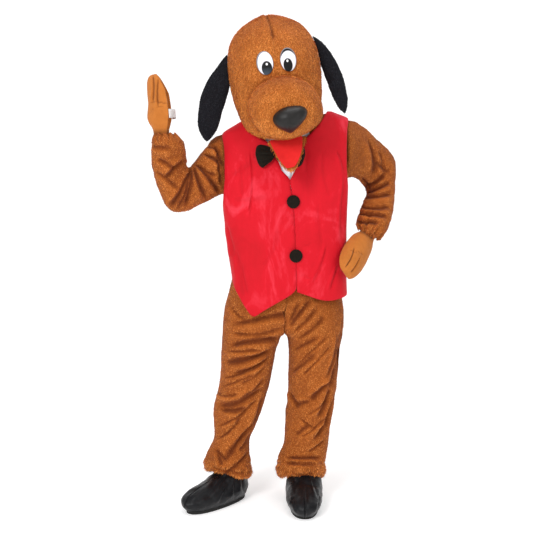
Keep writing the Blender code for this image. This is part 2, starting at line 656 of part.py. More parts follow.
def vest_panel(name, table, angles_at, finish, creased, parent):
    """One vest panel. angles_at gives the angles of its two edges at a height."""
    columns = VEST_COLUMNS if creased else VEST_BACK_COLUMNS
    outer, inner = [], []
    for height in vest_rings():
        first, last = angles_at(height)
        ring, lining = [], []
        for angle in spread(first, last, columns):
            guess = vest_surface(angle, height)
            hung = hung_height(table, guess.x, height)
            first_hung, last_hung = angles_at(hung)
            part = (angle - first) / (last - first)
            settled = first_hung + (last_hung - first_hung) * part
            point = vest_surface(settled, hung)
            normal = surface_normal(vest_surface, settled, hung, Vector((CENTRE_X, 0, point.z)))
            lift = crease_lift(point.x, hung) if creased else 0.0
            ring.append(point + normal * lift)
            lining.append(point + normal * (lift - VEST_WALL))
        outer.append(ring)
        inner.append(lining)
    wall(name, outer, inner, finish, parent)


def add_vest(parent):
    def side_step(height):
        """Angle from the side seam to the panel's edge: the armhole, or half the seam's gap."""
        row = at(VEST, height)
        seam = (SEAM_GAP / (row.back_y - row.front_y)) ** (row.squareness / 2)
        return max(vest_armhole(height), seam)

    def neck_angle(height, side):
        row = at(VEST_EDGE, height)
        opening = row.left_open if side > 0 else row.right_open
        return vest_angle(row.line_x + side * (max(opening, 0.0) + SEAM_GAP / 2), height)

    def right_front(height):
        return -math.pi / 2 + side_step(height), neck_angle(height, -1)

    def left_front(height):
        return neck_angle(height, 1), math.pi / 2 - side_step(height)

    def back(height):
        return math.pi / 2 + side_step(height), 3 * math.pi / 2 - side_step(height)

    vest_panel("vest_front_right", FRONT_HEM, right_front, VELVET, True, parent)
    vest_panel("vest_front_left", FRONT_HEM, left_front, VELVET, True, parent)
    vest_panel("vest_back", BACK_HEM, back, RED_SATIN, False, parent)


BUTTON_RADIUS = 0.025
BUTTON_DEPTH = 0.011
BUTTON_STEPS = 16
BUTTONS = {"button_upper": (0.027, 1.121), "button_lower": (0.037, 0.930)}


def add_buttons(parent):
    """Covered buttons: a turned dome with a rounded edge, its flat back on the vest."""
    radius, depth = BUTTON_RADIUS, BUTTON_DEPTH
    profile = [(0.0, depth), (0.55, depth * 0.94), (0.85, depth * 0.72), (0.98, depth * 0.4), (0.96, depth * 0.12)]
    profile += [(0.86, 0.0), (0.0, 0.0)]
    for name, (x, height) in BUTTONS.items():
        data = bpy.data.meshes.new(name)
        points = [(radius * share, 0, up) for share, up in profile]
        edges = [(i, i + 1) for i in range(len(points) - 1)]
        data.from_pydata(points, edges, [])
        button = add_object(name, data, BLACK_VELVET, parent)
        turn = button.modifiers.new("turned", "SCREW")
        turn.axis = "Z"
        turn.steps = turn.render_steps = BUTTON_STEPS
        turn.use_merge_vertices = True
        turn.merge_threshold = 1e-5
        angle = vest_angle(x, height)
        point = vest_surface(angle, height)
        normal = surface_normal(vest_surface, angle, height, Vector((CENTRE_X, 0, point.z)))
        button.location = point + normal * LAID_GAP
        button.rotation_euler = normal.to_track_quat("Z", "Y").to_euler()


ShirtRow = namedtuple("ShirtRow", "height right_x left_x")
SHIRT = [
    ShirtRow(1.150, -0.020, 0.050),
    ShirtRow(1.250, -0.055, 0.085),
    ShirtRow(1.350, -0.075, 0.085),
    ShirtRow(1.415, -0.072, 0.078),
    ShirtRow(1.450, -0.055, 0.062),
]
SHIRT_LIFT = 0.0025
SHIRT_RINGS, SHIRT_COLUMNS = 8, 7


def body_front(x, height, lift):
    """The point of the jumpsuit's front at this x, moved out by lift."""
    row = at(BODY, height)
    middle_y, half_depth = (row.front_y + row.back_y) / 2, (row.back_y - row.front_y) / 2
    part = min(abs(x - CENTRE_X) / row.half_width, 0.98)
    out = Vector((part * math.copysign(1, x - CENTRE_X), -math.sqrt(1 - part * part), 0))
    point = Vector((x, middle_y - half_depth * math.sqrt(1 - part * part), tilted(x, height)))
    return point + out * lift


def add_shirt_front(parent):
    outer, inner = [], []
    for height in spread(SHIRT[0].height, SHIRT[-1].height, SHIRT_RINGS):
        row = at(SHIRT, height)
        places = spread(row.right_x, row.left_x, SHIRT_COLUMNS)
        outer.append([body_front(x, height, SHIRT_LIFT + SHIRT_WALL) for x in places])
        inner.append([body_front(x, height, SHIRT_LIFT) for x in places])
    wall("shirt_front", outer, inner, WHITE_SATIN, parent)


WingRow = namedtuple("WingRow", "x low high depth")
RIGHT_WING = [
    WingRow(-0.036, 1.268, 1.310, 0.018),
    WingRow(-0.060, 1.249, 1.322, 0.028),
    WingRow(-0.085, 1.247, 1.329, 0.026),
    WingRow(-0.108, 1.255, 1.327, 0.012),
]
LEFT_WING = [
    WingRow(-0.004, 1.268, 1.310, 0.018),
    WingRow(0.020, 1.250, 1.322, 0.028),
    WingRow(0.046, 1.249, 1.327, 0.026),
    WingRow(0.069, 1.257, 1.324, 0.012),
]
KNOT_MIDDLE = (-0.020, 1.289)
KNOT_HALF = (0.0186, 0.014, 0.028)
WING_POINTS = 14
WING_EDGE = 0.003


def untilted(x, z):
    """The table height whose tilted height at this x is z."""
    return z - SHOULDER_TILT * (x - CENTRE_X) * eased(z, TILT_START, TILT_FULL)


def wing(name, rows, parent):
    """A padded bow loop: flat against the chest behind, round in front."""
    rings = []
    for row in rows:
        middle, half = (row.low + row.high) / 2, (row.high - row.low) / 2
        ring = []
        for j in range(WING_POINTS):
            angle = 2 * math.pi * j / WING_POINTS
            z = middle + half * math.cos(angle)
            back = chest(row.x, untilted(row.x, z), LAID_GAP)
            front = max(math.sin(angle), 0.0) * row.depth + WING_EDGE
            ring.append(Vector((row.x, back.y - front if math.sin(angle) > -1e-6 else back.y, z)))
        rings.append(ring)
    ends = [sum(ring, Vector()) / WING_POINTS for ring in (rings[0], rings[-1])]
    pad(name, rings, ends, BLACK_VELVET, parent)


def add_bow(parent):
    wing("bow_wing_right", RIGHT_WING, parent)
    wing("bow_wing_left", LEFT_WING, parent)
    x, z = KNOT_MIDDLE
    shape = bmesh.new()
    bmesh.ops.create_cube(shape, size=2.0)
    back = chest(x, untilted(x, z), LAID_GAP)
    middle = Vector((x, back.y - KNOT_HALF[1], z))
    bmesh.ops.transform(shape, matrix=Matrix.Translation(middle) @ Matrix.Diagonal((*KNOT_HALF, 1)), verts=shape.verts)
    knot = mesh_object("bow_knot", shape, BLACK_VELVET, parent)
    soft = knot.modifiers.new("soft", "SUBSURF")
    soft.levels = soft.render_levels = 2


# The back zip, on the centre back seam
ZIP_LOW, ZIP_HIGH = 0.80, 1.44
ZIP_HALF_WIDTH = 0.012
ZIP_WALL = 0.0015
ZIP_PLACES = (-1, -0.5, 0, 0.5, 1)


def add_back_zip(suits, parent):
    (right_surface, heights), (left_surface, _) = suits
    outer, inner = [], []
    for height in (height for height in heights if ZIP_LOW < height < ZIP_HIGH):
        ring = []
        for offset in ZIP_PLACES:
            surface = right_surface if offset < 0 else left_surface
            point = surface(1.0, height)
            ring.append(Vector((CENTRE_X + offset * ZIP_HALF_WIDTH, point.y + LAID_GAP, height)))
        inner.append(ring)
        outer.append([point + Vector((0, ZIP_WALL, 0)) for point in ring])
    wall("back_zip", outer, inner, PLUSH, parent)


# The head, in its own leaning frame above the neck opening
HEAD_PLACE = Vector((-0.014, -0.015, 1.3993))
HEAD_TURN = Euler((math.radians(10), math.radians(-8.7), math.radians(3)))
HeadRow = namedtuple("HeadRow", "height half_width front_y back_y droop")
HEAD = [
    HeadRow(0.045, 0.141, -0.156, 0.114, 1.00),
    HeadRow(0.070, 0.150, -0.174, 0.130, 0.80),
    HeadRow(0.110, 0.159, -0.186, 0.143, 0.45),
    HeadRow(0.155, 0.165, -0.190, 0.151, 0.15),
    HeadRow(0.200, 0.168, -0.190, 0.154, 0.00),
    HeadRow(0.250, 0.163, -0.184, 0.152, 0.00),
    HeadRow(0.295, 0.153, -0.170, 0.145, 0.00),
    HeadRow(0.335, 0.132, -0.144, 0.126, 0.00),
    HeadRow(0.362, 0.105, -0.114, 0.102, 0.00),
    HeadRow(0.383, 0.070, -0.076, 0.070, 0.00),
    HeadRow(0.394, 0.036, -0.040, 0.038, 0.00),
]
CROWN_HEIGHT = 0.398
FRONT_DROOP = 0.46
BACK_DROOP = 0.15
HEAD_COLUMNS = 13
HEAD_RINGS = 12
HEAD_INSIDE = Vector((0, 0, 0.2))


def head_surface(turn, height):
    """Point of the head: turn 0 is the middle of the face and 0.25 the wearer's left."""
    row = at(HEAD, height)
    angle = 2 * math.pi * turn
    middle_y, half_depth = (row.front_y + row.back_y) / 2, (row.back_y - row.front_y) / 2
    x = row.half_width * math.sin(angle)
    y = middle_y - half_depth * math.cos(angle)
    droop = row.droop * (FRONT_DROOP if y < 0 else BACK_DROOP)
    return Vector((x, y, height + droop * y))


def face(x, z, lift):
    """The point of the face at this x and z, moved out along the face's normal."""
    height = z
    for _ in range(8):
        row = at(HEAD, height)
        part = min(abs(x) / row.half_width, 0.995)
        turn = math.copysign(math.asin(part), x) / (2 * math.pi)
        height += z - head_surface(turn, height).z
    normal = surface_normal(head_surface, turn, height, Vector((0, 0, z)))
    return head_surface(turn, height) + normal * lift


def add_head_halves(parent):
    """Left and right half of the foam-backed head, from the neck opening to the crown."""
    for name, side in (("head_right", -1), ("head_left", 1)):
        outer, inner = [], []
        for height in spread(HEAD[0].height, HEAD[-1].height, HEAD_RINGS):
            row = at(HEAD, height)
            slip = SEAM_GAP / 2 / (2 * math.pi * row.half_width)
            turns = spread(side * slip, side * (0.5 - slip), HEAD_COLUMNS)
            ring, lining = [], []
            for turn in turns:
                point = head_surface(turn, height)
                probed = min(height, HEAD[-1].height - 2 * PROBE)
                normal = surface_normal(head_surface, turn, probed, HEAD_INSIDE)
                ring.append(point)
                lining.append(point - normal * HEAD_WALL)
            outer.append(ring)
            inner.append(lining)
        edge = side * SEAM_GAP / 2
        poles = (Vector((edge, 0, CROWN_HEIGHT)), Vector((edge, 0, CROWN_HEIGHT - HEAD_WALL)))
        half = wall(name, outer, inner, PLUSH, parent, poles=poles)
        cut = half.modifiers.new("mouth_opening", "BOOLEAN")
        cut.operation = "DIFFERENCE"
        cut.object = bpy.data.objects["mouth_cutter"]


MUZZLE_MIDDLE_Z = 0.085
MUZZLE_HALF_WIDTH = 0.123
MUZZLE_HALF_HEIGHT = 0.108
MUZZLE_SHOULDER_Y = -0.226
MUZZLE_REACH = 0.094
MUZZLE_FULLNESS = 0.62
MUZZLE_WALL = 0.007
MUZZLE_SEAT = 0.0010
MUZZLE_COLUMNS = 22
MUZZLE_RIM = 0.94
MUZZLE_RISES = (18, 36, 52, 66, 78)
MOUTH_MARGIN = 0.0256
MOUTH_CUT_LENGTH = 0.14
MOUTH_CUT_Y = -0.165
MOUTH_CUT_RISE = 0.006


def muzzle_outline(angle, scale, inset=0.0):
    """x and z on the muzzle's outline, scale 1 being its fullest ring."""
    width = max(MUZZLE_HALF_WIDTH * scale - inset, 0.002)
    height = max(MUZZLE_HALF_HEIGHT * scale - inset, 0.002)
    return width * math.sin(angle), MUZZLE_MIDDLE_Z - height * math.cos(angle)


def muzzle_front(x, z):
    """How far forward the muzzle's dome lies at this x and z."""
    scale = math.hypot(x / MUZZLE_HALF_WIDTH, (z - MUZZLE_MIDDLE_Z) / MUZZLE_HALF_HEIGHT)
    rise = math.acos(min(scale, 0.999) ** (1 / MUZZLE_FULLNESS))
    return MUZZLE_SHOULDER_Y - MUZZLE_REACH * math.sin(rise)


def add_muzzle(parent):
    """A stuffed-looking cup whose rim lies on the face, open behind to the head."""
    angles = [2 * math.pi * j / MUZZLE_COLUMNS for j in range(MUZZLE_COLUMNS)]
    outer = [[face(*muzzle_outline(angle, MUZZLE_RIM), MUZZLE_SEAT) for angle in angles]]
    inner = [[face(*muzzle_outline(angle, MUZZLE_RIM, MUZZLE_WALL), MUZZLE_SEAT) for angle in angles]]
    for part in (0.5, 1.0):
        scale = MUZZLE_RIM + (1 - MUZZLE_RIM) * part
        for grid, inset in ((outer, 0.0), (inner, MUZZLE_WALL)):
            ring = []
            for j, angle in enumerate(angles):
                x, z = muzzle_outline(angle, scale, inset)
                y = grid[0][j].y + (MUZZLE_SHOULDER_Y - grid[0][j].y) * part
                ring.append(Vector((x, y, z)))
            grid.append(ring)
    for rise in MUZZLE_RISES:
        scale = math.cos(math.radians(rise)) ** MUZZLE_FULLNESS
        forward = MUZZLE_SHOULDER_Y - MUZZLE_REACH * math.sin(math.radians(rise))
        for grid, inset, back in ((outer, 0.0, 0.0), (inner, MUZZLE_WALL, MUZZLE_WALL * math.sin(math.radians(rise)))):
            ring = []
            for angle in angles:
                x, z = muzzle_outline(angle, scale, inset)
                ring.append(Vector((x, forward + back, z)))
            grid.append(ring)
    tip = Vector((0, MUZZLE_SHOULDER_Y - MUZZLE_REACH, MUZZLE_MIDDLE_Z))
    poles = (tip, tip + Vector((0, MUZZLE_WALL, 0)))
    wall("muzzle", outer, inner, PLUSH, parent, closed=True, poles=poles)


def add_mouth_cutter(parent):
    """The opening through the face behind the muzzle, an oval prism along the muzzle."""
    shape = bmesh.new()
    bmesh.ops.create_cone(shape, cap_ends=True, segments=20, radius1=1, radius2=1, depth=MOUTH_CUT_LENGTH)
    sizes = Matrix.Diagonal((MUZZLE_HALF_WIDTH - MOUTH_MARGIN, MUZZLE_HALF_HEIGHT - MOUTH_MARGIN, 1, 1))
    lay = Matrix.Rotation(math.pi / 2, 4, "X")
    place = Matrix.Translation((0, MOUTH_CUT_Y, MUZZLE_MIDDLE_Z + MOUTH_CUT_RISE))
    bmesh.ops.transform(shape, matrix=place @ lay @ sizes, verts=shape.verts)
    cutter = mesh_object("mouth_cutter", shape, PLUSH, parent)
    bpy.data.collections["dog_costume"].objects.unlink(cutter)
    bpy.data.collections["cutters"].objects.link(cutter)
    cutter.hide_render = True
    cutter.display_type = "WIRE"


NOSE_MIDDLE = (0.0, 0.056)
NOSE_DEPTH = 0.042
NOSE_EDGE = 0.004
NOSE_POINTS = 18
NOSE_RINGS = (1.0, 0.9, 0.7, 0.4)
NoseRow = namedtuple("NoseRow", "turn radius")
NOSE_OUTLINE = [
    NoseRow(-0.08, 0.0415),
    NoseRow(0.00, 0.043),
    NoseRow(0.08, 0.0415),
    NoseRow(0.17, 0.047),
    NoseRow(0.25, 0.059),
    NoseRow(0.31, 0.063),
    NoseRow(0.40, 0.051),
    NoseRow(0.50, 0.041),
    NoseRow(0.60, 0.051),
    NoseRow(0.69, 0.063),
    NoseRow(0.75, 0.059),
    NoseRow(0.83, 0.047),
    NoseRow(0.92, 0.0415),
    NoseRow(1.00, 0.043),
]


def add_nose(parent):
    """A stuffed rounded triangle on the front of the muzzle, widest above its middle."""
    outer, inner = [], []
    for share in NOSE_RINGS:
        ring, base = [], []
        for j in range(NOSE_POINTS):
            turn = j / NOSE_POINTS
            radius = at(NOSE_OUTLINE, turn).radius * share
            x = NOSE_MIDDLE[0] + radius * math.sin(2 * math.pi * turn)
            z = NOSE_MIDDLE[1] - radius * math.cos(2 * math.pi * turn)
            y = muzzle_front(x, z) - LAID_GAP
            base.append(Vector((x, y, z)))
            ring.append(Vector((x, y - NOSE_EDGE - NOSE_DEPTH * math.sqrt(1 - share ** 2), z)))
        outer.append(ring)
        inner.append(base)
    tip_y = muzzle_front(*NOSE_MIDDLE) - LAID_GAP
    poles = (
        Vector((NOSE_MIDDLE[0], tip_y - NOSE_EDGE - NOSE_DEPTH, NOSE_MIDDLE[1])),
        Vector((NOSE_MIDDLE[0], tip_y, NOSE_MIDDLE[1])),
    )
    wall("nose", outer, inner, BLACK_SATIN, parent, closed=True, poles=poles)


EYE_X, EYE_Z = 0.040, 0.240
EYE_HALF_WIDTH, EYE_HALF_HEIGHT = 0.029, 0.041
EYE_WALL = 0.003
EYE_POINTS = 18
EYE_RINGS = (1.0, 0.55)


def add_eyes(parent):
    """Flat ovals of white cloth on the face."""
    for name, side in (("eye_right", -1), ("eye_left", 1)):
        outer, inner = [], []
        for share in EYE_RINGS:
            ring, base = [], []
            for j in range(EYE_POINTS):
                angle = 2 * math.pi * j / EYE_POINTS
                x = side * EYE_X + EYE_HALF_WIDTH * share * math.sin(angle)
                z = EYE_Z - EYE_HALF_HEIGHT * share * math.cos(angle)
                base.append(face(x, z, LAID_GAP))
                ring.append(face(x, z, LAID_GAP + EYE_WALL))
            outer.append(ring)
            inner.append(base)
        poles = (face(side * EYE_X, EYE_Z, LAID_GAP + EYE_WALL), face(side * EYE_X, EYE_Z, LAID_GAP))
        wall(name, outer, inner, EYE_CLOTH, parent, closed=True, poles=poles)


EarRow = namedtuple("EarRow", "outer_x outer_z inner_x inner_z middle_y half_thickness")
RIGHT_EAR = [
    EarRow(-0.152, 0.293, -0.166, 0.168, -0.020, 0.008),
    EarRow(-0.197, 0.253, -0.177, 0.142, -0.022, 0.011),
    EarRow(-0.240, 0.212, -0.196, 0.107, -0.026, 0.012),
    EarRow(-0.273, 0.164, -0.212, 0.072, -0.031, 0.012),
    EarRow(-0.292, 0.113, -0.228, 0.039, -0.036, 0.011),
    EarRow(-0.303, 0.061, -0.243, 0.016, -0.041, 0.010),
    EarRow(-0.300, 0.024, -0.262, 0.000, -0.045, 0.008),
]
RIGHT_EAR_TIP = (-0.281, -0.047, -0.012)
LEFT_EAR = [
    EarRow(0.144, 0.311, 0.166, 0.196, -0.020, 0.008),
    EarRow(0.178, 0.288, 0.177, 0.165, -0.022, 0.011),
    EarRow(0.204, 0.254, 0.184, 0.132, -0.026, 0.012),
    EarRow(0.228, 0.203, 0.190, 0.105, -0.031, 0.012),
    EarRow(0.243, 0.154, 0.196, 0.077, -0.036, 0.011),
    EarRow(0.251, 0.092, 0.206, 0.050, -0.041, 0.010),
    EarRow(0.248, 0.050, 0.217, 0.032, -0.045, 0.008),
]
LEFT_EAR_TIP = (0.234, -0.047, 0.012)
EAR_POINTS = 14
EAR_GAP = 0.0009
EAR_SQUARENESS = 2.6
EAR_SEAT_SHARES = (0.35, 0.7, 1.0)


def head_side_x(side, y, z):
    """x of the head's side at this y and z."""
    row = at(HEAD, z)
    middle_y, half_depth = (row.front_y + row.back_y) / 2, (row.back_y - row.front_y) / 2
    return side * row.half_width * math.sqrt(max(0.0, 1 - ((y - middle_y) / half_depth) ** 2))


def on_head_side(side, point):
    """The point moved in x onto the head's side, just clear of it."""
    return Vector((head_side_x(side, point.y, point.z) + side * EAR_GAP, point.y, point.z))


def ear(name, side, rows, tip, parent):
    """A soft padded ear that hangs from the side of the head."""
    rings = []
    for row in rows:
        high, low = Vector((row.outer_x, row.middle_y, row.outer_z)), Vector((row.inner_x, row.middle_y, row.inner_z))
        middle, up = (high + low) / 2, (high - low) / 2
        ring = []
        for j in range(EAR_POINTS):
            angle = 2 * math.pi * j / EAR_POINTS
            thickness = row.half_thickness * rounded(math.sin(angle), EAR_SQUARENESS)
            ring.append(middle + up * math.cos(angle) + Vector((0, thickness, 0)))
        rings.append(ring)
    root = rings[0]
    middle = sum(root, Vector()) / EAR_POINTS
    seat = [[on_head_side(side, middle.lerp(point, share)) for point in root] for share in EAR_SEAT_SHARES]
    pad(name, seat + rings[1:], (on_head_side(side, middle), Vector(tip)), BLACK_PLUSH, parent)


JAW_HINGE_Y, JAW_HINGE_Z = -0.196, -0.0251
JAW_TIP_Y, JAW_TIP_Z = -0.268, -0.128
JAW_MIDDLE_X = -0.008
JAW_HALF_WIDTH = 0.062
JAW_CURL = 0.016
JAW_TIP_CURL = 0.6
JAW_TIP_SHARE = 0.985
JAW_SQUARENESS = 2.6
JAW_LINING_SHARE = 0.95
JAW_START = 0.02
JAW_WALL = 0.005
JAW_LINING = 0.0025
JAW_LINING_GAP = 0.0016
JAW_ROWS = 7
JAW_COLUMNS = 7


def jaw_point(across, along, lift):
    """Point of the jaw flap: across -1 to 1, along 0 at the hinge to 1 at the tip, lifted to the front."""
    half = JAW_HALF_WIDTH * (1 - (along * JAW_TIP_SHARE) ** JAW_SQUARENESS) ** 0.5
    run = Vector((0, JAW_TIP_Y - JAW_HINGE_Y, JAW_TIP_Z - JAW_HINGE_Z))
    out = Vector((0, run.z, -run.y)).normalized()
    curl = JAW_CURL * ((across * half / JAW_HALF_WIDTH) ** 2 + JAW_TIP_CURL * along * along)
    base = Vector((JAW_MIDDLE_X + across * half, JAW_HINGE_Y, JAW_HINGE_Z))
    return base + run * along + out * (curl + lift)


def add_jaw(parent):
    """The lower jaw: a plush scoop with a red lining in it."""
    lining_low = JAW_WALL + JAW_LINING_GAP
    layers = (
        ("lower_jaw", 0.0, JAW_WALL, 1.0, PLUSH),
        ("mouth_lining", lining_low, lining_low + JAW_LINING, JAW_LINING_SHARE, RED_LINING),
    )
    for name, low, high, share, finish in layers:
        grids = []
        for lift in (high, low):
            grids.append([
                [jaw_point(across, along, lift) for across in spread(-share, share, JAW_COLUMNS)]
                for along in spread(JAW_START, share, JAW_ROWS)
            ])
        wall(name, grids[0], grids[1], finish, parent)


def add_head(parent):
    pose = bpy.data.objects.new("head_pose", None)
    bpy.data.collections["dog_costume"].objects.link(pose)
    pose.parent = parent
    pose.location = HEAD_PLACE
    pose.rotation_euler = HEAD_TURN
    add_mouth_cutter(pose)
    add_head_halves(pose)
    add_muzzle(pose)
    add_nose(pose)
    add_eyes(pose)
    ear("ear_right", -1, RIGHT_EAR, RIGHT_EAR_TIP, pose)
    ear("ear_left", 1, LEFT_EAR, LEFT_EAR_TIP, pose)
    add_jaw(pose)


# Mitts: padded backs, open at the palm, each with an elastic across it
MittRow = namedtuple("MittRow", "along half_width height palm")
MITT = [
    MittRow(0.00, 0.030, 0.050, 0.002),
    MittRow(0.09, 0.031, 0.051, 0.002),
    MittRow(0.16, 0.040, 0.059, -0.002),
    MittRow(0.24, 0.048, 0.068, -0.005),
    MittRow(0.34, 0.052, 0.072, -0.007),
    MittRow(0.52, 0.057, 0.073, -0.008),
    MittRow(0.70, 0.056, 0.069, -0.007),
    MittRow(0.84, 0.050, 0.058, -0.004),
    MittRow(0.93, 0.039, 0.043, -0.001),
    MittRow(0.98, 0.024, 0.030, 0.003),
]
MITT_POINTS = 13
STRAP_LOW, STRAP_HIGH = 0.26, 0.40
STRAP_SAG = 0.018
STRAP_GAP = 0.00096
STRAP_POINTS = 13
MITT_SQUARENESS = 2.7
MITT_TIP_RISE = 0.008
LINING_LENGTH = 0.98
WRIST_MIDDLE = 0.026
Hand = namedtuple("Hand", "name strap wrist tip back thickness")
HANDS = [
    Hand("mitt_right", "mitt_strap_right", (-0.4275, -0.181, 1.354), (-0.455, -0.187, 1.565), (-1, 0, 0), 1.0),
    Hand("mitt_left", "mitt_strap_left", (0.3175, -0.008, 1.0055), (0.221, -0.148, 0.8645), (0.62, -0.66, 0.1), 0.72),
]


def hand_frame(hand):
    """Place and axes of a mitt: x across the hand, y along it, z out of its back."""
    along = (Vector(hand.tip) - Vector(hand.wrist)).normalized()
    back = Vector(hand.back)
    back = (back - along * back.dot(along)).normalized()
    across = along.cross(back)
    frame = Matrix((across, along, back)).transposed().to_4x4()
    return Matrix.Translation(Vector(hand.wrist) - back * WRIST_MIDDLE * hand.thickness) @ frame


def mitt_ring(row, inset, length, thickness):
    half, height = row.half_width - inset, row.height * thickness - inset
    ring = []
    for j in range(MITT_POINTS):
        angle = math.pi * j / (MITT_POINTS - 1)
        rise = height * rounded(math.sin(angle), MITT_SQUARENESS)
        ring.append(Vector((half * math.cos(angle), row.along * length, row.palm + rise)))
    return ring


def add_mitts(parent):
    for hand in HANDS:
        length = (Vector(hand.tip) - Vector(hand.wrist)).length
        outer = [mitt_ring(row, 0.0, length, hand.thickness) for row in MITT]
        inner = [mitt_ring(row, MITT_WALL, length * LINING_LENGTH, hand.thickness) for row in MITT]
        tip = Vector((0, length, MITT_TIP_RISE))
        poles = (tip, tip - Vector((0, MITT_WALL, 0)))
        mitt = wall(hand.name, outer, inner, MITT_PLUSH, parent, poles=poles)
        outer, inner = [], []
        for share in (STRAP_LOW, STRAP_HIGH):
            row = at(MITT, share)
            ring, lining = [], []
            for angle in spread(0.0, math.pi, STRAP_POINTS):
                out = Vector((math.cos(angle), 0, -math.sin(angle)))
                point = Vector((
                    (row.half_width - STRAP_WALL) * math.cos(angle),
                    share * length,
                    row.palm - STRAP_GAP - STRAP_SAG * math.sin(angle),
                ))
                ring.append(point)
                lining.append(point - out * STRAP_WALL)
            outer.append(ring)
            inner.append(lining)
        strap = wall(hand.strap, outer, inner, WHITE_ELASTIC, parent)
        for piece in (mitt, strap):
            piece.matrix_local = hand_frame(hand)


# Shoe covers, each of two halves on a sole
CoverRow = namedtuple("CoverRow", "height toe_y heel_y half_width")
COVER = [
    CoverRow(0.0105, -0.224, 0.064, 0.054),
    CoverRow(0.020, -0.239, 0.073, 0.063),
    CoverRow(0.034, -0.245, 0.079, 0.069),
    CoverRow(0.052, -0.231, 0.079, 0.070),
    CoverRow(0.068, -0.194, 0.074, 0.0645),
    CoverRow(0.084, -0.136, 0.067, 0.057),
    CoverRow(0.100, -0.0700, 0.060, 0.053),
    CoverRow(0.120, -0.0560, 0.056, 0.050),
    CoverRow(0.145, -0.0510, 0.054, 0.048),
]
COVER_COLUMNS = 10
COVER_RINGS = 8
COVER_SQUARENESS = 2.3
SOLE_HEIGHT = 0.010
SOLE_POINTS = 28
SOLE_WIDTH_SHARE, SOLE_LENGTH_SHARE = 0.97, 0.985
COVER_INSIDE_Y = -0.05
Foot = namedtuple("Foot", "suffix place turn")
FEET = [
    Foot("right", (-0.2040, -0.0316), math.radians(-41)),
    Foot("left", (0.0713, -0.032), math.radians(-1)),
]


def cover_surface(turn, height):
    """Point of a shoe cover: turn 0 is the toe, 0.25 one side and 0.5 the heel."""
    row = at(COVER, height)
    angle = 2 * math.pi * turn
    middle_y, half_length = (row.toe_y + row.heel_y) / 2, (row.heel_y - row.toe_y) / 2
    y = middle_y - half_length * rounded(math.cos(angle), COVER_SQUARENESS)
    return Vector((row.half_width * rounded(math.sin(angle), COVER_SQUARENESS), y, height))


def add_shoe_covers(parent):
    for foot in FEET:
        place = Matrix.Translation((*foot.place, 0)) @ Matrix.Rotation(foot.turn, 4, "Z")
        for half, side in (("inner", 1), ("outer", -1)):
            side = side if foot.suffix == "right" else -side
            outer, inner = [], []
            for height in spread(COVER[0].height, COVER[-1].height, COVER_RINGS):
                row = at(COVER, height)
                slip = (SEAM_GAP / 2 / row.half_width) ** (COVER_SQUARENESS / 2) / (2 * math.pi)
                ring, lining = [], []
                for turn in spread(side * slip, side * (0.5 - slip), COVER_COLUMNS):
                    point = cover_surface(turn, height)
                    normal = surface_normal(cover_surface, turn, height, Vector((0, COVER_INSIDE_Y, height)))
                    ring.append(point)
                    lining.append(point - normal * COVER_WALL)
                outer.append(ring)
                inner.append(lining)
            piece = wall(f"shoe_cover_{half}_{foot.suffix}", outer, inner, BLACK_SATIN, parent)
            piece.matrix_local = place
        outline = [cover_surface(j / SOLE_POINTS, COVER[0].height) for j in range(SOLE_POINTS)]
        top = [Vector((point.x * SOLE_WIDTH_SHARE, point.y * SOLE_LENGTH_SHARE, SOLE_HEIGHT)) for point in outline]
        bottom = [Vector((point.x, point.y, 0)) for point in top]
        middle = Vector((0, (COVER[0].toe_y + COVER[0].heel_y) / 2, 0))
        poles = (middle + Vector((0, 0, SOLE_HEIGHT)), middle)
        sole = wall(f"sole_{foot.suffix}", [top], [bottom], SOLE_RUBBER, parent, closed=True, poles=poles)
        sole.matrix_local = place


def clear_scene():
    for old in list(bpy.data.objects):
        bpy.data.objects.remove(old, do_unlink=True)


def main():
    clear_scene()
    for name in ("dog_costume", "cutters"):
        bpy.context.scene.collection.children.link(bpy.data.collections.new(name))
    origin = bpy.data.objects.new("costume_origin", None)
    bpy.data.collections["dog_costume"].objects.link(origin)
    origin.location = (0, 0, -SHOULDER_HEIGHT)
    suits = add_suit(origin)
    sleeve("sleeve_right", -1, RIGHT_SLEEVE, RIGHT_SLEEVE_FOLDS, suits[0], origin)
    sleeve("sleeve_left", 1, LEFT_SLEEVE, LEFT_SLEEVE_FOLDS, suits[1], origin)
    add_back_zip(suits, origin)
    add_shirt_front(origin)
    add_vest(origin)
    add_buttons(origin)
    add_bow(origin)
    add_head(origin)
    add_mitts(origin)
    add_shoe_covers(origin)


main()
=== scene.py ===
import math

import bmesh
import bpy
import numpy as np
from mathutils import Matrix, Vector, noise
from mathutils.bvhtree import BVHTree


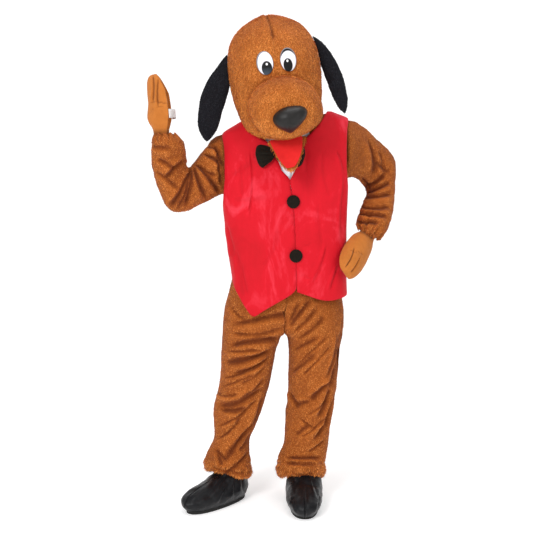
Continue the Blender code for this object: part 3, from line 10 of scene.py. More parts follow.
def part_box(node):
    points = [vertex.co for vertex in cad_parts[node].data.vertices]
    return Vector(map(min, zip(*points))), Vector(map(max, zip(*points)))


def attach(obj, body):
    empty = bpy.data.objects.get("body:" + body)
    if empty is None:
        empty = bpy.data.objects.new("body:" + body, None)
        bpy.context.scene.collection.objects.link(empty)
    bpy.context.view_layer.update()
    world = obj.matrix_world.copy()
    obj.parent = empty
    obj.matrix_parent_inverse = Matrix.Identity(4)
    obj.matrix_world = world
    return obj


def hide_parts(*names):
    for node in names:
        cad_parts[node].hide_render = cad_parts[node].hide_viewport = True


# The whole costume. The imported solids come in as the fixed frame, in metres, with the middle between
# the wearer's shoulders at the origin and the floor 1.40 m below it. Each cloth piece below is made
# on the outer skin of its own solid.
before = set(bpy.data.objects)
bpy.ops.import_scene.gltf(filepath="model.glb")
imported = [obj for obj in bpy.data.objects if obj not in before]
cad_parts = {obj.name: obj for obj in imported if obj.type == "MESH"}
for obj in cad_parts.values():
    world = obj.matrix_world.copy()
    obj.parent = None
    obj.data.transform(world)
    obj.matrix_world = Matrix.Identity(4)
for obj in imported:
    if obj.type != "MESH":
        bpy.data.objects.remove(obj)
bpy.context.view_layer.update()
noise.seed_set(7)  # without it the drift of the tufts would start from the clock, new on each run

# The room: a plain pale floor, soft light from large panels, and a camera at the height of the chest
# that looks slightly down. None of it belongs to the costume.
bpy.ops.object.select_all(action="DESELECT")
bpy.ops.mesh.primitive_plane_add(size=14, location=(0, -1.5, -1.4))
floor = bpy.context.object
floor.name = "floor"
bpy.ops.object.transform_apply(location=True)
bpy.ops.object.mode_set(mode="EDIT")
bpy.ops.mesh.select_all(action="DESELECT")
sweep = bmesh.from_edit_mesh(floor.data)
for edge in sweep.edges:
    edge.select = all(corner.co.y > 5 for corner in edge.verts)
bmesh.update_edit_mesh(floor.data)
bpy.ops.mesh.extrude_region_move(TRANSFORM_OT_translate={"value": (0, 0, 6)})
bpy.ops.object.mode_set(mode="OBJECT")
floor_paint = bpy.data.materials.new("pale_floor")
floor_paint.use_nodes = True
paint = floor_paint.node_tree.nodes["Principled BSDF"].inputs
paint["Base Color"].default_value = (0.92, 0.92, 0.92, 1)
paint["Roughness"].default_value = 0.9
paint["Emission Color"].default_value = (1, 1, 1, 1)
paint["Emission Strength"].default_value = 0.34
floor.data.materials.append(floor_paint)
bend = floor.modifiers.new("bend", "BEVEL")
bend.width, bend.segments, bend.limit_method = 2.4, 16, "NONE"
bpy.ops.object.modifier_apply(modifier="bend")
floor.data.shade_smooth()

room_air = bpy.data.worlds.new("pale_room")
room_air.use_nodes = True
air = room_air.node_tree.nodes["Background"].inputs
air["Color"].default_value = (1.0, 1.0, 1.0, 1)
air["Strength"].default_value = 0.52
bpy.context.scene.world = room_air
bpy.context.scene.view_settings.view_transform = "Standard"

LIT_POINT = Vector((0, 0, -0.35))
for name, place, size, watts in (
    ("key_panel", (-1.9, -3.4, 1.5), 1.3, 95),
    ("fill_panel", (2.6, -2.8, 0.3), 2.2, 26),
    ("top_panel", (0.2, -0.4, 2.6), 1.8, 40),
):
    bpy.ops.object.light_add(type="AREA", location=place)
    panel = bpy.context.object
    panel.name = name
    panel.data.size = size
    panel.data.energy = watts
    panel.rotation_euler = (LIT_POINT - Vector(place)).to_track_quat("-Z", "Y").to_euler()

bpy.ops.object.camera_add(location=(-0.056, -3.3, -0.25), rotation=(math.radians(85.1), 0, 0))
camera = bpy.context.object
camera.data.sensor_width = 36
camera.data.lens = 58.87
bpy.context.scene.camera = camera


# The jumpsuit: two fronts and two backs of short-pile plush, each cut in one from the collar to the
# trouser hem and sewn on the side, the inseam and the centre. The cloth hangs in long soft folds
# from the crotch and the knees, and is bunched above the shoes.
def opened(node):
    """The welded mesh of a solid, open for editing."""
    shape = bmesh.new()
    shape.from_mesh(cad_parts[node].data)
    bmesh.ops.remove_doubles(shape, verts=shape.verts, dist=1e-5)
    return shape


def closed(shape, name, bend, skew):
    """A new piece of an open mesh, its triangles joined to four-sided faces where they are flat."""
    bmesh.ops.join_triangles(
        shape, faces=shape.faces,
        angle_face_threshold=math.radians(bend), angle_shape_threshold=math.radians(skew),
    )
    mesh = bpy.data.meshes.new(name)
    shape.to_mesh(mesh)
    shape.free()
    return put_in(name, mesh)


def put_in(name, mesh):
    piece = bpy.data.objects.new(name, mesh)
    bpy.context.scene.collection.objects.link(piece)
    return piece


ONE_SKIN = math.radians(48)  # faces that meet at less than this belong to one skin


def outer_skin(node, name):
    """A new piece on the outer skin of a solid: an open sheet."""
    shape = opened(node)
    shape.faces.ensure_lookup_table()
    group = [-1] * len(shape.faces)
    areas = []
    for first in shape.faces:
        if group[first.index] >= 0:
            continue
        group[first.index] = len(areas)
        waiting, area = [first], 0.0
        while waiting:
            face = waiting.pop()
            area += face.calc_area()
            for edge in face.edges:
                for other in edge.link_faces:
                    if group[other.index] < 0 and face.normal.angle(other.normal, 3.0) < ONE_SKIN:
                        group[other.index] = group[first.index]
                        waiting.append(other)
        areas.append(area)
    outer = areas.index(max(areas))
    others = [face for face in shape.faces if group[face.index] != outer]
    bmesh.ops.delete(shape, geom=others, context="FACES")
    return closed(shape, name, 70, 70)


def apply_modifier(piece, kind, **settings):
    bpy.ops.object.select_all(action="DESELECT")
    bpy.context.view_layer.objects.active = piece
    piece.select_set(True)
    modifier = piece.modifiers.new("shaping", kind)
    for name, value in settings.items():
        setattr(modifier, name, value)
    bpy.ops.object.modifier_apply(modifier=modifier.name)


def smooth(piece, levels):
    """Rounds the piece by applied subdivision, keeping the line of its edges."""
    apply_modifier(
        piece, "SUBSURF", levels=levels, render_levels=levels,
        boundary_smooth="PRESERVE_CORNERS", use_limit_surface=False,
    )
    piece.data.shade_smooth()


def thicken(piece, thickness, share=1.0):
    """Joins the flattest faces of the cloth to the given share of them, and gives it its thickness."""
    if share < 1:
        apply_modifier(piece, "DECIMATE", ratio=share)
    apply_modifier(piece, "SOLIDIFY", thickness=thickness, offset=-1)
    piece.data.shade_smooth()


def points_of(piece):
    count = len(piece.data.vertices)
    places, normals = np.empty(count * 3), np.empty(count * 3)
    piece.data.vertices.foreach_get("co", places)
    piece.data.vertices.foreach_get("normal", normals)
    return places.reshape(-1, 3), normals.reshape(-1, 3)


def set_points(piece, places):
    piece.data.vertices.foreach_set("co", places.ravel())
    piece.data.update()


def crease_of(piece):
    """The attribute of a piece that holds its painted shade, in folds and beside other parts, and its
    painted highlight on ridges; made if it has none yet, and its values.
    """
    kept = piece.data.attributes.get("crease") or piece.data.attributes.new("crease", "FLOAT", "POINT")
    values = np.empty(len(piece.data.vertices), np.float32)
    kept.data.foreach_get("value", values)
    return kept, values


def dent(piece, dents):
    """Soft dents and swellings: middle, radius, and how far the cloth goes in there."""
    places, normals = points_of(piece)
    lift = np.zeros(len(places))
    for middle, radius, depth in dents:
        away = np.linalg.norm(places - np.array(middle), axis=1) / radius
        lift -= depth * np.exp(-(away**2))
    set_points(piece, places + normals * lift[:, None])


DARK = 0.25  # a point this deep in a trough gets painted shade, and a shallower point on a ridge painted highlight


def lay_folds(piece, folds, side, seed=0, strength=1.0):
    """Presses folds into the cloth and keeps painted shade in an attribute of its points: the deeper a
    point lies in a trough, the more painted shade, and a point on a ridge gets painted highlight as a
    negative value. A fold is x and z of its two ends, its depth and its half width; side is -1 for
    folds seen from the front and 1 for folds at the back. Each fold is a trough with a soft ridge on one
    side."""
    places, normals = points_of(piece)
    chance = np.random.default_rng(seed)
    lift, crease = np.zeros(len(places)), np.zeros(len(places))
    for x, z, x_end, z_end, depth, width in folds:
        start, run = np.array((x, z)), np.array((x_end - x, z_end - z))
        length = np.linalg.norm(run)
        away = places[:, [0, 2]] - start
        along = away @ run / length**2
        across = (away[:, 0] * run[1] - away[:, 1] * run[0]) / length
        across += chance.uniform(-0.07, 0.07) * length * np.sin(np.pi * np.clip(along, 0, 1))
        across += 0.12 * width * np.sin(along * length / 0.028 + chance.uniform(0, 6))
        fade = np.clip(np.minimum(along + 0.06, 1.06 - along) * 4.0, 0, 1)
        fade = fade * fade * (3 - 2 * fade)
        spread = width * (0.55 + 0.35 * np.clip(along, 0, 1))
        trough = np.exp(-np.abs(across / spread) ** 1.4) * fade
        ridge = np.exp(-(((across - 1.9 * spread) / (1.25 * spread)) ** 2)) * fade
        lift += strength * depth * (0.55 * ridge - trough)
        # painted shade in the trough, painted highlight on its ridge
        shade = trough * min(depth / 0.007, 1.2)
        lit = crease - 0.30 * ridge * (crease < DARK)
        crease = np.where(shade > DARK, np.maximum(crease, shade), lit)
    facing = np.clip((side * normals[:, 1] + 0.12) / 0.35, 0, 1)
    facing = facing * facing * (3 - 2 * facing)
    set_points(piece, places + normals * (lift * facing)[:, None])
    kept, before = crease_of(piece)
    kept.data.foreach_set("value", (before + crease * facing).astype(np.float32))


def crumple(piece, amount, size, seed, stretch=(1.0, 1.0, 1.0), high=9.0):
    """Small uneven waves over the cloth below a height, so that no stretch of it is quite even."""
    places, normals = points_of(piece)
    shift = Vector((seed * 3.7, seed * 1.9, seed * 5.3))
    stretched = places * np.array(stretch) / size
    waves = np.array([
        noise.noise(Vector(point) + shift) + 0.5 * noise.noise(Vector(point) * 2.1 + shift)
        for point in stretched
    ])
    reach = np.clip((high - places[:, 2]) / 0.05, 0, 1)
    set_points(piece, places + normals * (amount * waves * reach)[:, None])


def press_hidden(piece, cover_nodes, depth):
    """Draws the cloth in where other pieces lie over it."""
    covers = cover_tree(cover_nodes)
    places, normals = points_of(piece)
    hidden = np.array([
        covers.ray_cast(Vector(point) - Vector(normal) * 0.004, Vector(normal), 0.05)[0] is not None
        for point, normal in zip(places, normals)
    ], float)
    neighbours = np.array([edge.vertices[:] for edge in piece.data.edges])
    for _ in range(6):
        total, count = np.zeros(len(hidden)), np.zeros(len(hidden))
        for first, second in (neighbours.T, neighbours[:, ::-1].T):
            np.add.at(total, first, hidden[second])
            np.add.at(count, first, 1)
        hidden = np.minimum(hidden, total / np.maximum(count, 1))
    set_points(piece, places - normals * (depth * hidden)[:, None])


def cover_tree(nodes):
    """A search tree over these solids, for finding what lies over a point."""
    corners, faces = [], []
    for node in nodes:
        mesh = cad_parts[node].data
        mesh.calc_loop_triangles()
        faces += [[index + len(corners) for index in triangle.vertices] for triangle in mesh.loop_triangles]
        corners += [vertex.co.copy() for vertex in mesh.vertices]
    return BVHTree.FromPolygons(corners, faces)


def grow_pile(skin, name, density, tuft, tones, seed, covers, rise=0.35, clump=0.011, hem=-9.0):
    """The pile of a plush: short bent tufts, a leaf of one face each, combed down on the skin. density
    is tufts per square metre, tuft the length and width of one, tones its dyes from dark to light.
    None grows where a solid of covers lies over the skin, and they are longer below hem."""
    chance = np.random.default_rng(seed)
    length, width = tuft
    mesh = skin.data
    mesh.calc_loop_triangles()
    places, normals = points_of(skin)
    skin_shade = np.zeros(len(places), np.float32)
    if "crease" in mesh.attributes:
        mesh.attributes["crease"].data.foreach_get("value", skin_shade)
    triangles = np.array([triangle.vertices[:] for triangle in mesh.loop_triangles])
    a, b, c = (places[triangles[:, i]] for i in range(3))
    areas = np.linalg.norm(np.cross(b - a, c - a), axis=1) / 2
    count = int(areas.sum() * density)
    picked = chance.choice(len(areas), count, p=areas / areas.sum())
    u, v = chance.random(count), chance.random(count)
    over = u + v > 1
    u[over], v[over] = 1 - u[over], 1 - v[over]
    shares = np.stack([1 - u - v, u, v], axis=1)
    corner = triangles[picked]
    root = sum(places[corner[:, i]] * shares[:, i:i + 1] for i in range(3))
    out = sum(normals[corner[:, i]] * shares[:, i:i + 1] for i in range(3))
    out /= np.linalg.norm(out, axis=1)[:, None]
    root_shade = sum(skin_shade[corner[:, i]] * shares[:, i] for i in range(3))
    drift = np.array([noise.noise_vector(Vector(point) / 0.07)[:] for point in root])
    way = np.array((0.0, 0.0, -1.0)) + 0.40 * drift + chance.normal(0, 0.20, root.shape)
    way -= out * (way * out).sum(1)[:, None]
    way /= np.maximum(np.linalg.norm(way, axis=1), 1e-9)[:, None]
    size = length * chance.uniform(0.6, 1.25, count) * (1 + 1.5 * np.clip((hem - root[:, 2]) / 0.03, 0, 1))
    size = (size * (1 - 0.6 * np.clip(root_shade, 0, 1)))[:, None]
    lift = rise * chance.uniform(0.5, 1.5, count)[:, None]
    direction = way * np.sqrt(np.maximum(1 - lift**2, 0.1)) + out * lift
    across = np.cross(out, way) + out * chance.normal(0, 0.35, count)[:, None]
    across *= width * chance.uniform(0.7, 1.3, count)[:, None] / 2
    low = root - out * 0.0006
    middle = root + direction * size * 0.5
    tip = root + direction * size - out * size * 0.12
    lid = cover_tree(covers)
    shown = np.array([
        lid.ray_cast(Vector(point) - Vector(normal) * 0.001, Vector(normal), 0.030)[0] is None
        for point, normal in zip(root, out)
    ])
    clumps = np.array([
        noise.noise(Vector(point) / clump) + 0.7 * noise.noise(Vector(point) / 0.045) for point in root
    ])
    # tufts over painted shade take darker dyes and over painted ridges lighter ones; the clumps and the
    # scatter are the plush's own uneven tone
    light = 0.60 + 0.34 * clumps - 0.66 * root_shade + chance.normal(0, 0.26, count)
    tone = np.clip((light * len(tones)).astype(int), 0, len(tones) - 1)[shown]
    corners = np.stack([low, middle + across, tip, middle - across], axis=1)[shown]
    count = len(corners)
    grown = bpy.data.meshes.new(name)
    grown.vertices.add(count * 4)
    grown.vertices.foreach_set("co", corners.ravel())
    grown.loops.add(count * 4)
    grown.loops.foreach_set("vertex_index", np.arange(count * 4))
    grown.polygons.add(count)
    grown.polygons.foreach_set("loop_start", np.arange(count) * 4)
    for dye in tones:
        grown.materials.append(dye)
    grown.polygons.foreach_set("material_index", tone.astype(np.int32))
    grown.update()
    grown.validate()
    grown.shade_smooth()
    piece = put_in(name, grown)
    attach(piece, "root")
    return piece


class Thread:
    """A value in a material's nodes. Sums, products and powers of it add their own Math nodes."""

    def __init__(self, tree, socket):
        self.tree = tree
        self.socket = socket

    def node(self, kind, settings, inlets, outlet=0):
        """A new node: its settings first, then the values or threads of its inlets."""
        made = self.tree.nodes.new(kind)
        for name, value in settings.items():
            setattr(made, name, value)
        for name, value in inlets.items():
            if isinstance(value, Thread):
                self.tree.links.new(value.socket, made.inputs[name])
            else:
                made.inputs[name].default_value = value
        return Thread(self.tree, made.outputs[outlet])

    def worked(self, operation, first, second, clamped=False):
        settings = {"operation": operation, "use_clamp": clamped}
        return self.node("ShaderNodeMath", settings, {0: first, 1: second})

    def __add__(self, other):
        return self.worked("ADD", self, other)

    def __sub__(self, other):
        return self.worked("SUBTRACT", self, other)

    def __rsub__(self, other):
        return self.worked("SUBTRACT", other, self)

    def __mul__(self, other):
        return self.worked("MULTIPLY", self, other)

    def __truediv__(self, other):
        return self.worked("DIVIDE", self, other)

    def __pow__(self, other):
        return self.worked("POWER", self, other)

    def clamped(self):
        return self.worked("ADD", self, 0.0, True)

    def dyed(self, low, high):
        """A colour between two others, by this value as the share of the second."""
        settings = {"data_type": "RGBA", "clamp_factor": True}
        first, second = (end if isinstance(end, Thread) else (*end, 1) for end in (low, high))
        return self.node("ShaderNodeMix", settings, {0: self, 6: first, 7: second}, 2)

    def stretched(self, scale):
        return self.node("ShaderNodeMapping", {}, {"Vector": self, "Scale": scale})

    def clouds(self, scale, detail=3.0, rough=0.55, distortion=0.0):
        return self.node("ShaderNodeTexNoise", {}, {
            "Vector": self, "Scale": scale, "Detail": detail, "Roughness": rough, "Distortion": distortion,
        })

    def creases(self):
        """The painted shade of the point: how deep it lies in a fold or how close to another part, negative
        on a ridge as painted highlight.
        """
        return self.node("ShaderNodeAttribute", {"attribute_name": "crease"}, {}, "Fac")


def cloth(name, roughness, **finish):
    """A new material: its constant finish is set on the shader, and its pattern starts from the
    piece's own coordinates."""
    made = bpy.data.materials.new(name)
    made.use_nodes = True
    tree = made.node_tree
    shader = tree.nodes["Principled BSDF"]
    shader.inputs["Roughness"].default_value = roughness
    for key, value in finish.items():
        shader.inputs[key.replace("_", " ").title().replace("Ior", "IOR")].default_value = value
    start = Thread(tree, None).node("ShaderNodeTexCoord", {}, {}, "Object")
    return made, shader, start


def dress(shader, colour=None, roughness=None, height=None, strength=0.5, distance=0.002):
    """Links what varies over the surface to the shader."""
    thread = colour or roughness or height
    for name, value in (("Base Color", colour), ("Roughness", roughness)):
        if value is not None:
            thread.tree.links.new(value.socket, shader.inputs[name])
    if height is not None:
        inlets = {"Strength": strength, "Distance": distance, "Height": height}
        bumped = height.node("ShaderNodeBump", {}, inlets)
        thread.tree.links.new(bumped.socket, shader.inputs["Normal"])


def plush_ground(name, dark, light):
    """The ground of a plush between its tufts: mottled, streaked along the nap, and darker as
    painted shade in the folds and beside other parts.
    """
    made, shader, start = cloth(name, 0.92, specular_ior_level=0.2, sheen_weight=0.05, sheen_roughness=0.5)
    patches = start.clouds(14.0, 4.0, 0.6, 0.4)
    streaks = start.stretched((1.0, 1.0, 0.22)).clouds(150.0, 3.0, 0.65)
    specks = start.clouds(420.0, 2.0, 0.7)
    crease = start.creases()
    # the ground is painted darker where the folds and nearby parts hold painted shade
    share = patches * 0.55 + streaks * 0.55 + specks * 0.35 - 0.28 - crease * 0.5
    dress(shader, share.clamped().dyed(dark, light), None, streaks * 0.6 + specks * 0.6, 0.9, 0.004)
    return made


def tuft_dyes(name, colours):
    """The dyes of the tufts of one plush."""
    dyes = []
    for number, colour in enumerate(colours, 1):
        dye, shader, _ = cloth(
            f"{name}_{number}", 0.7, specular_ior_level=0.3, sheen_weight=0.08, sheen_roughness=0.4
        )
        shader.inputs["Base Color"].default_value = (*colour, 1)
        dyes.append(dye)
    return dyes


def hold(piece, node):
    """Fixes a finished piece on the costume in place of its solid."""
    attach(piece, "root")
    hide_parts(node)


# The ground's dyes are darker than the tufts': painted shade deep in the pile.
brown_ground = plush_ground("brown_plush_ground", (0.15, 0.030, 0.004), (0.52, 0.138, 0.019))
brown_tufts = tuft_dyes("brown_tuft", [
    (0.27, 0.058, 0.007), (0.44, 0.108, 0.013), (0.57, 0.155, 0.021), (0.68, 0.205, 0.032),
    (0.82, 0.295, 0.062),
])
SUIT_TUFT = (0.0052, 0.0013)
VEST_NODES = ["vest_front_right", "vest_front_left", "vest_back"]
SUIT_COVERS = VEST_NODES + ["shirt_front", "back_zip", "head_right", "head_left"]
RIGHT_LEG_FOLDS = [
    (-0.195, -0.728, 0.021, -0.683, 0.009, 0.012), (-0.207, -0.757, 0.003, -0.735, 0.006, 0.010),
    (-0.207, -0.806, -0.023, -0.780, 0.010, 0.013), (-0.218, -0.828, -0.085, -0.820, 0.005, 0.008),
    (-0.049, -0.824, -0.222, -0.873, 0.010, 0.013), (-0.056, -0.850, -0.196, -0.910, 0.007, 0.010),
    (-0.071, -0.880, -0.167, -0.947, 0.005, 0.009), (-0.078, -0.932, -0.167, -1.007, 0.006, 0.010),
    (-0.082, -0.970, -0.252, -1.037, 0.010, 0.014), (-0.241, -1.049, -0.145, -1.037, 0.009, 0.011),
    (-0.100, -1.007, -0.182, -1.101, 0.005, 0.009), (-0.082, -1.004, -0.119, -1.120, 0.007, 0.012),
    (-0.115, -1.098, -0.227, -1.230, 0.010, 0.013), (-0.130, -1.147, -0.172, -1.205, 0.006, 0.010),
    (-0.134, -1.219, -0.235, -1.284, 0.007, 0.011), (-0.264, -1.204, -0.212, -1.234, 0.006, 0.009),
    (-0.262, -0.998, -0.175, -0.984, 0.005, 0.007), (-0.253, -1.219, -0.231, -1.249, 0.007, 0.010),
    (-0.278, -1.258, -0.140, -1.286, 0.006, 0.008),
    (-0.215, -0.868, -0.080, -0.842, 0.005, 0.007), (-0.232, -0.935, -0.075, -0.868, 0.006, 0.007),
    (-0.235, -0.965, -0.110, -0.905, 0.005, 0.006), (-0.250, -1.115, -0.130, -1.040, 0.006, 0.007),
    (-0.255, -1.165, -0.165, -1.085, 0.006, 0.007), (-0.206, -0.655, -0.140, -0.715, 0.005, 0.008),
]
LEFT_LEG_FOLDS = [
    (0.014, -0.735, 0.094, -0.628, 0.008, 0.010), (0.025, -0.757, 0.120, -0.654, 0.006, 0.009),
    (0.040, -0.783, 0.149, -0.691, 0.006, 0.010), (0.017, -0.724, 0.054, -0.635, 0.007, 0.008),
    (0.205, -0.817, 0.169, -0.970, 0.010, 0.012), (0.169, -0.970, 0.122, -1.075, 0.008, 0.012),
    (0.205, -0.757, 0.191, -0.902, 0.006, 0.010), (0.173, -0.940, 0.092, -1.011, 0.009, 0.012),
    (0.092, -1.011, 0.033, -1.037, 0.007, 0.011), (0.018, -0.992, 0.048, -1.030, 0.007, 0.010),
    (0.029, -0.828, 0.128, -0.765, 0.005, 0.010), (0.021, -0.914, 0.113, -0.828, 0.006, 0.012),
    (0.177, -1.022, 0.107, -1.162, 0.010, 0.011), (0.188, -0.992, 0.152, -1.128, 0.006, 0.008),
    (0.055, -1.075, 0.107, -1.113, 0.005, 0.009), (0.040, -1.143, 0.092, -1.098, 0.006, 0.010),
    (0.003, -1.226, 0.137, -1.230, 0.009, 0.008), (-0.004, -1.245, 0.122, -1.249, 0.006, 0.008),
    (0.018, -1.272, 0.115, -1.280, 0.006, 0.008), (0.215, -0.702, 0.205, -0.820, 0.005, 0.007),
    (0.040, -0.880, 0.165, -0.760, 0.005, 0.006), (0.060, -0.920, 0.175, -0.800, 0.005, 0.006),
    (0.192, -0.760, 0.150, -0.930, 0.006, 0.007), (0.080, -1.065, 0.165, -1.010, 0.005, 0.006),
    (0.055, -1.150, 0.150, -1.075, 0.005, 0.006), (0.150, -1.165, 0.085, -1.205, 0.006, 0.007),
]
RIGHT_BACK_FOLDS = [
    (-0.200, -0.650, -0.030, -0.715, 0.009, 0.014), (-0.205, -0.720, -0.020, -0.752, 0.008, 0.012),
    (-0.215, -0.800, -0.040, -0.775, 0.009, 0.013), (-0.230, -0.880, -0.090, -0.860, 0.006, 0.010),
    (-0.240, -0.985, -0.085, -0.960, 0.010, 0.013), (-0.235, -1.030, -0.100, -0.985, 0.008, 0.011),
    (-0.250, -1.080, -0.130, -1.135, 0.007, 0.012), (-0.280, -1.215, -0.160, -1.185, 0.009, 0.011),
    (-0.285, -1.255, -0.150, -1.270, 0.008, 0.010), (-0.180, -0.560, -0.170, -0.690, 0.006, 0.012),
]
LEFT_BACK_FOLDS = [
    (0.205, -0.640, 0.035, -0.712, 0.009, 0.014), (0.212, -0.715, 0.025, -0.750, 0.008, 0.012),
    (0.205, -0.810, 0.040, -0.782, 0.009, 0.013), (0.198, -0.900, 0.080, -0.870, 0.006, 0.010),
    (0.190, -0.992, 0.040, -0.965, 0.010, 0.013), (0.180, -1.035, 0.050, -0.998, 0.008, 0.011),
    (0.165, -1.100, 0.060, -1.150, 0.007, 0.012), (0.140, -1.222, 0.000, -1.205, 0.009, 0.011),
    (0.130, -1.262, 0.000, -1.275, 0.008, 0.010), (0.190, -0.550, 0.180, -0.680, 0.006, 0.012),
]


def close_crotch(piece):
    """Draws the cloth of the two legs together where they part, a hand below the vest."""
    places, _ = points_of(piece)
    side = places[:, 0] + 0.003
    pull = 0.026 * np.clip((-0.665 - places[:, 2]) / 0.05, 0, 1)
    pull *= np.clip((places[:, 2] + 0.785) / 0.035, 0, 1)
    pull *= np.clip((0.080 - np.abs(side)) / 0.045, 0, 1)
    moved = np.sign(side) * np.maximum(np.abs(side) - pull, np.minimum(np.abs(side), 0.0008))
    places[:, 0] = moved - 0.003
    set_points(piece, places)


def roll_hem(piece, top):
    """Turns the hem under: the cloth swells just above its lowest edge and draws in at the edge."""
    places, normals = points_of(piece)
    shape = bmesh.new()
    shape.from_mesh(piece.data)
    around = [edge for edge in shape.edges if edge.is_boundary and max(v.co.z for v in edge.verts) < top]
    rim = [v.co[:] for edge in around for v in edge.verts
           if abs(edge.verts[0].co.z - edge.verts[1].co.z) < 0.6 * edge.calc_length()]
    shape.free()
    low = np.nonzero(places[:, 2] < top + 0.08)[0]
    away = np.linalg.norm(places[low, None] - np.array(rim)[None], axis=2).min(axis=1)
    swell = 0.0065 * np.sin(np.pi * np.clip(away / 0.05, 0, 1))
    swell -= 0.0075 * np.clip(1 - away / 0.012, 0, 1) ** 2
    places[low] += normals[low] * swell[:, None]
    set_points(piece, places)


PANELS = [
    ("suit_front_right", RIGHT_LEG_FOLDS, -1, (0.34, 1.40), 0.363),
    ("suit_front_left", LEFT_LEG_FOLDS, -1, (0.34, 1.40), 0.366),
    ("suit_back_right", RIGHT_BACK_FOLDS, 1, (0.35, 1.41), 0.370),
    ("suit_back_left", LEFT_BACK_FOLDS, 1, (0.35, 1.41), 0.375),
]
for seed, (node, folds, side, cut, area) in enumerate(PANELS):
    panel = outer_skin(node, node + "_cloth")
    smooth(panel, 3)
    close_crotch(panel)
    roll_hem(panel, -1.22)
    lay_folds(panel, folds, side, seed, 1.25)
    crumple(panel, 0.0022, 0.05, seed, high=-0.62)
    crumple(panel, 0.0035, 0.022, seed + 9, stretch=(0.5, 0.5, 1.3), high=-1.20)
    press_hidden(panel, VEST_NODES, 0.006)
    panel.data.materials.append(brown_ground)
    density = 96000 if side < 0 else 62000
    tufts = grow_pile(
        panel, node + "_pile", density, SUIT_TUFT, brown_tufts, 20 + seed, SUIT_COVERS, hem=-1.235
    )
    thicken(panel, 0.0018, share=0.34)
    hold(panel, node)

# The sleeves: tubes of the same plush, set into the armholes. The raised one is folded sharply at
# the elbow, and the bent one hangs in cross folds; both end in a cuff gathered on elastic.
RIGHT_SLEEVE_FOLDS = [
    (-0.342, -0.151, -0.420, -0.300, 0.010, 0.011), (-0.342, -0.155, -0.362, -0.296, 0.010, 0.010),
    (-0.335, -0.148, -0.289, -0.263, 0.009, 0.010), (-0.331, -0.137, -0.238, -0.242, 0.009, 0.010),
    (-0.298, -0.101, -0.233, -0.137, 0.010, 0.010), (-0.266, -0.065, -0.223, -0.148, 0.009, 0.009),
    (-0.357, -0.126, -0.433, -0.198, 0.009, 0.010), (-0.291, -0.076, -0.230, -0.097, 0.007, 0.009),
    (-0.346, -0.162, -0.391, -0.307, 0.007, 0.009), (-0.320, -0.137, -0.248, -0.184, 0.007, 0.009),
    (-0.454, -0.126, -0.389, -0.162, 0.006, 0.010), (-0.462, -0.169, -0.383, -0.227, 0.006, 0.011),
    (-0.472, -0.083, -0.396, -0.090, 0.005, 0.010), (-0.251, -0.083, -0.230, -0.220, 0.006, 0.009),
]
LEFT_SLEEVE_FOLDS = [
    (0.311, -0.046, 0.338, -0.175, 0.008, 0.012), (0.301, -0.253, 0.398, -0.201, 0.010, 0.010),
    (0.286, -0.234, 0.382, -0.167, 0.008, 0.010), (0.287, -0.267, 0.402, -0.245, 0.009, 0.010),
    (0.283, -0.297, 0.395, -0.293, 0.009, 0.010), (0.276, -0.323, 0.384, -0.331, 0.008, 0.010),
    (0.258, -0.349, 0.347, -0.353, 0.010, 0.009), (0.269, -0.320, 0.325, -0.334, 0.006, 0.008),
    (0.337, -0.123, 0.397, -0.167, 0.007, 0.012), (0.290, -0.190, 0.327, -0.234, 0.008, 0.009),
    (0.271, -0.204, 0.301, -0.219, 0.006, 0.008), (0.352, -0.086, 0.375, -0.160, 0.005, 0.010),
]
SHOULDERS = {
    "sleeve_right": [((-0.240, -0.002, -0.040), 0.050, -0.010)],
    "sleeve_left": [((0.250, 0.016, 0.012), 0.050, -0.011), ((0.305, 0.050, -0.018), 0.050, -0.008)],
}
SLEEVES = [
    ("sleeve_right", RIGHT_SLEEVE_FOLDS, (-0.4275, -0.181, -0.046), (-0.455, -0.187, 0.165), (0.44, 0.52)),
    ("sleeve_left", LEFT_SLEEVE_FOLDS, (0.3175, -0.008, -0.3945), (0.221, -0.148, -0.5355), (0.44, 0.52)),
]


def gather_cuff(piece, wrist, hand, reach, pleats, depth):
    """Draws the end of a sleeve into small pleats round the wrist."""
    places, normals = points_of(piece)
    axis = Vector(hand) - Vector(wrist)
    axis.normalize()
    across = axis.orthogonal().normalized()
    other = axis.cross(across)
    away = places - np.array(wrist)
    turn = np.arctan2(away @ np.array(other), away @ np.array(across))
    share = np.clip(1 + (away @ np.array(axis)) / reach, 0, 1)
    waves = np.sin(turn * pleats) + 0.5 * np.sin(turn * pleats * 1.7 + 1.3)
    drawn = 0.005 * np.clip((share - 0.55) / 0.45, 0, 1) ** 2
    set_points(piece, places + normals * (depth * waves * share**1.5 - drawn)[:, None])


for seed, (node, folds, wrist, hand, cut) in enumerate(SLEEVES):
    sleeve = outer_skin(node, node + "_cloth")
    smooth(sleeve, 3)
    dent(sleeve, SHOULDERS[node])
    lay_folds(sleeve, folds, -1, seed + 4, 1.25)
    back_folds = [
        (x + 0.012, z - 0.010, x_end - 0.008, z_end + 0.012, depth * 0.9, width * 1.15)
        for x, z, x_end, z_end, depth, width in folds[::2]
    ]
    lay_folds(sleeve, back_folds, 1, seed + 14)
    crumple(sleeve, 0.0024, 0.035, seed + 5)
    gather_cuff(sleeve, wrist, hand, 0.045, 11, 0.0042)
    sleeve.data.materials.append(brown_ground)
    tufts = grow_pile(
        sleeve, node + "_pile", 100000, SUIT_TUFT, brown_tufts, 30 + seed,
        VEST_NODES + [panel_node for panel_node, *_ in PANELS],
    )
    thicken(sleeve, 0.0018, share=0.40)
    hold(sleeve, node)

# The flap over the zip at the centre back: a narrow strip of the same plush, sewn down on one side.
flap = outer_skin("back_zip", "back_zip_flap")
smooth(flap, 2)
flap.data.materials.append(brown_ground)
thicken(flap, 0.0014)
hold(flap, "back_zip")

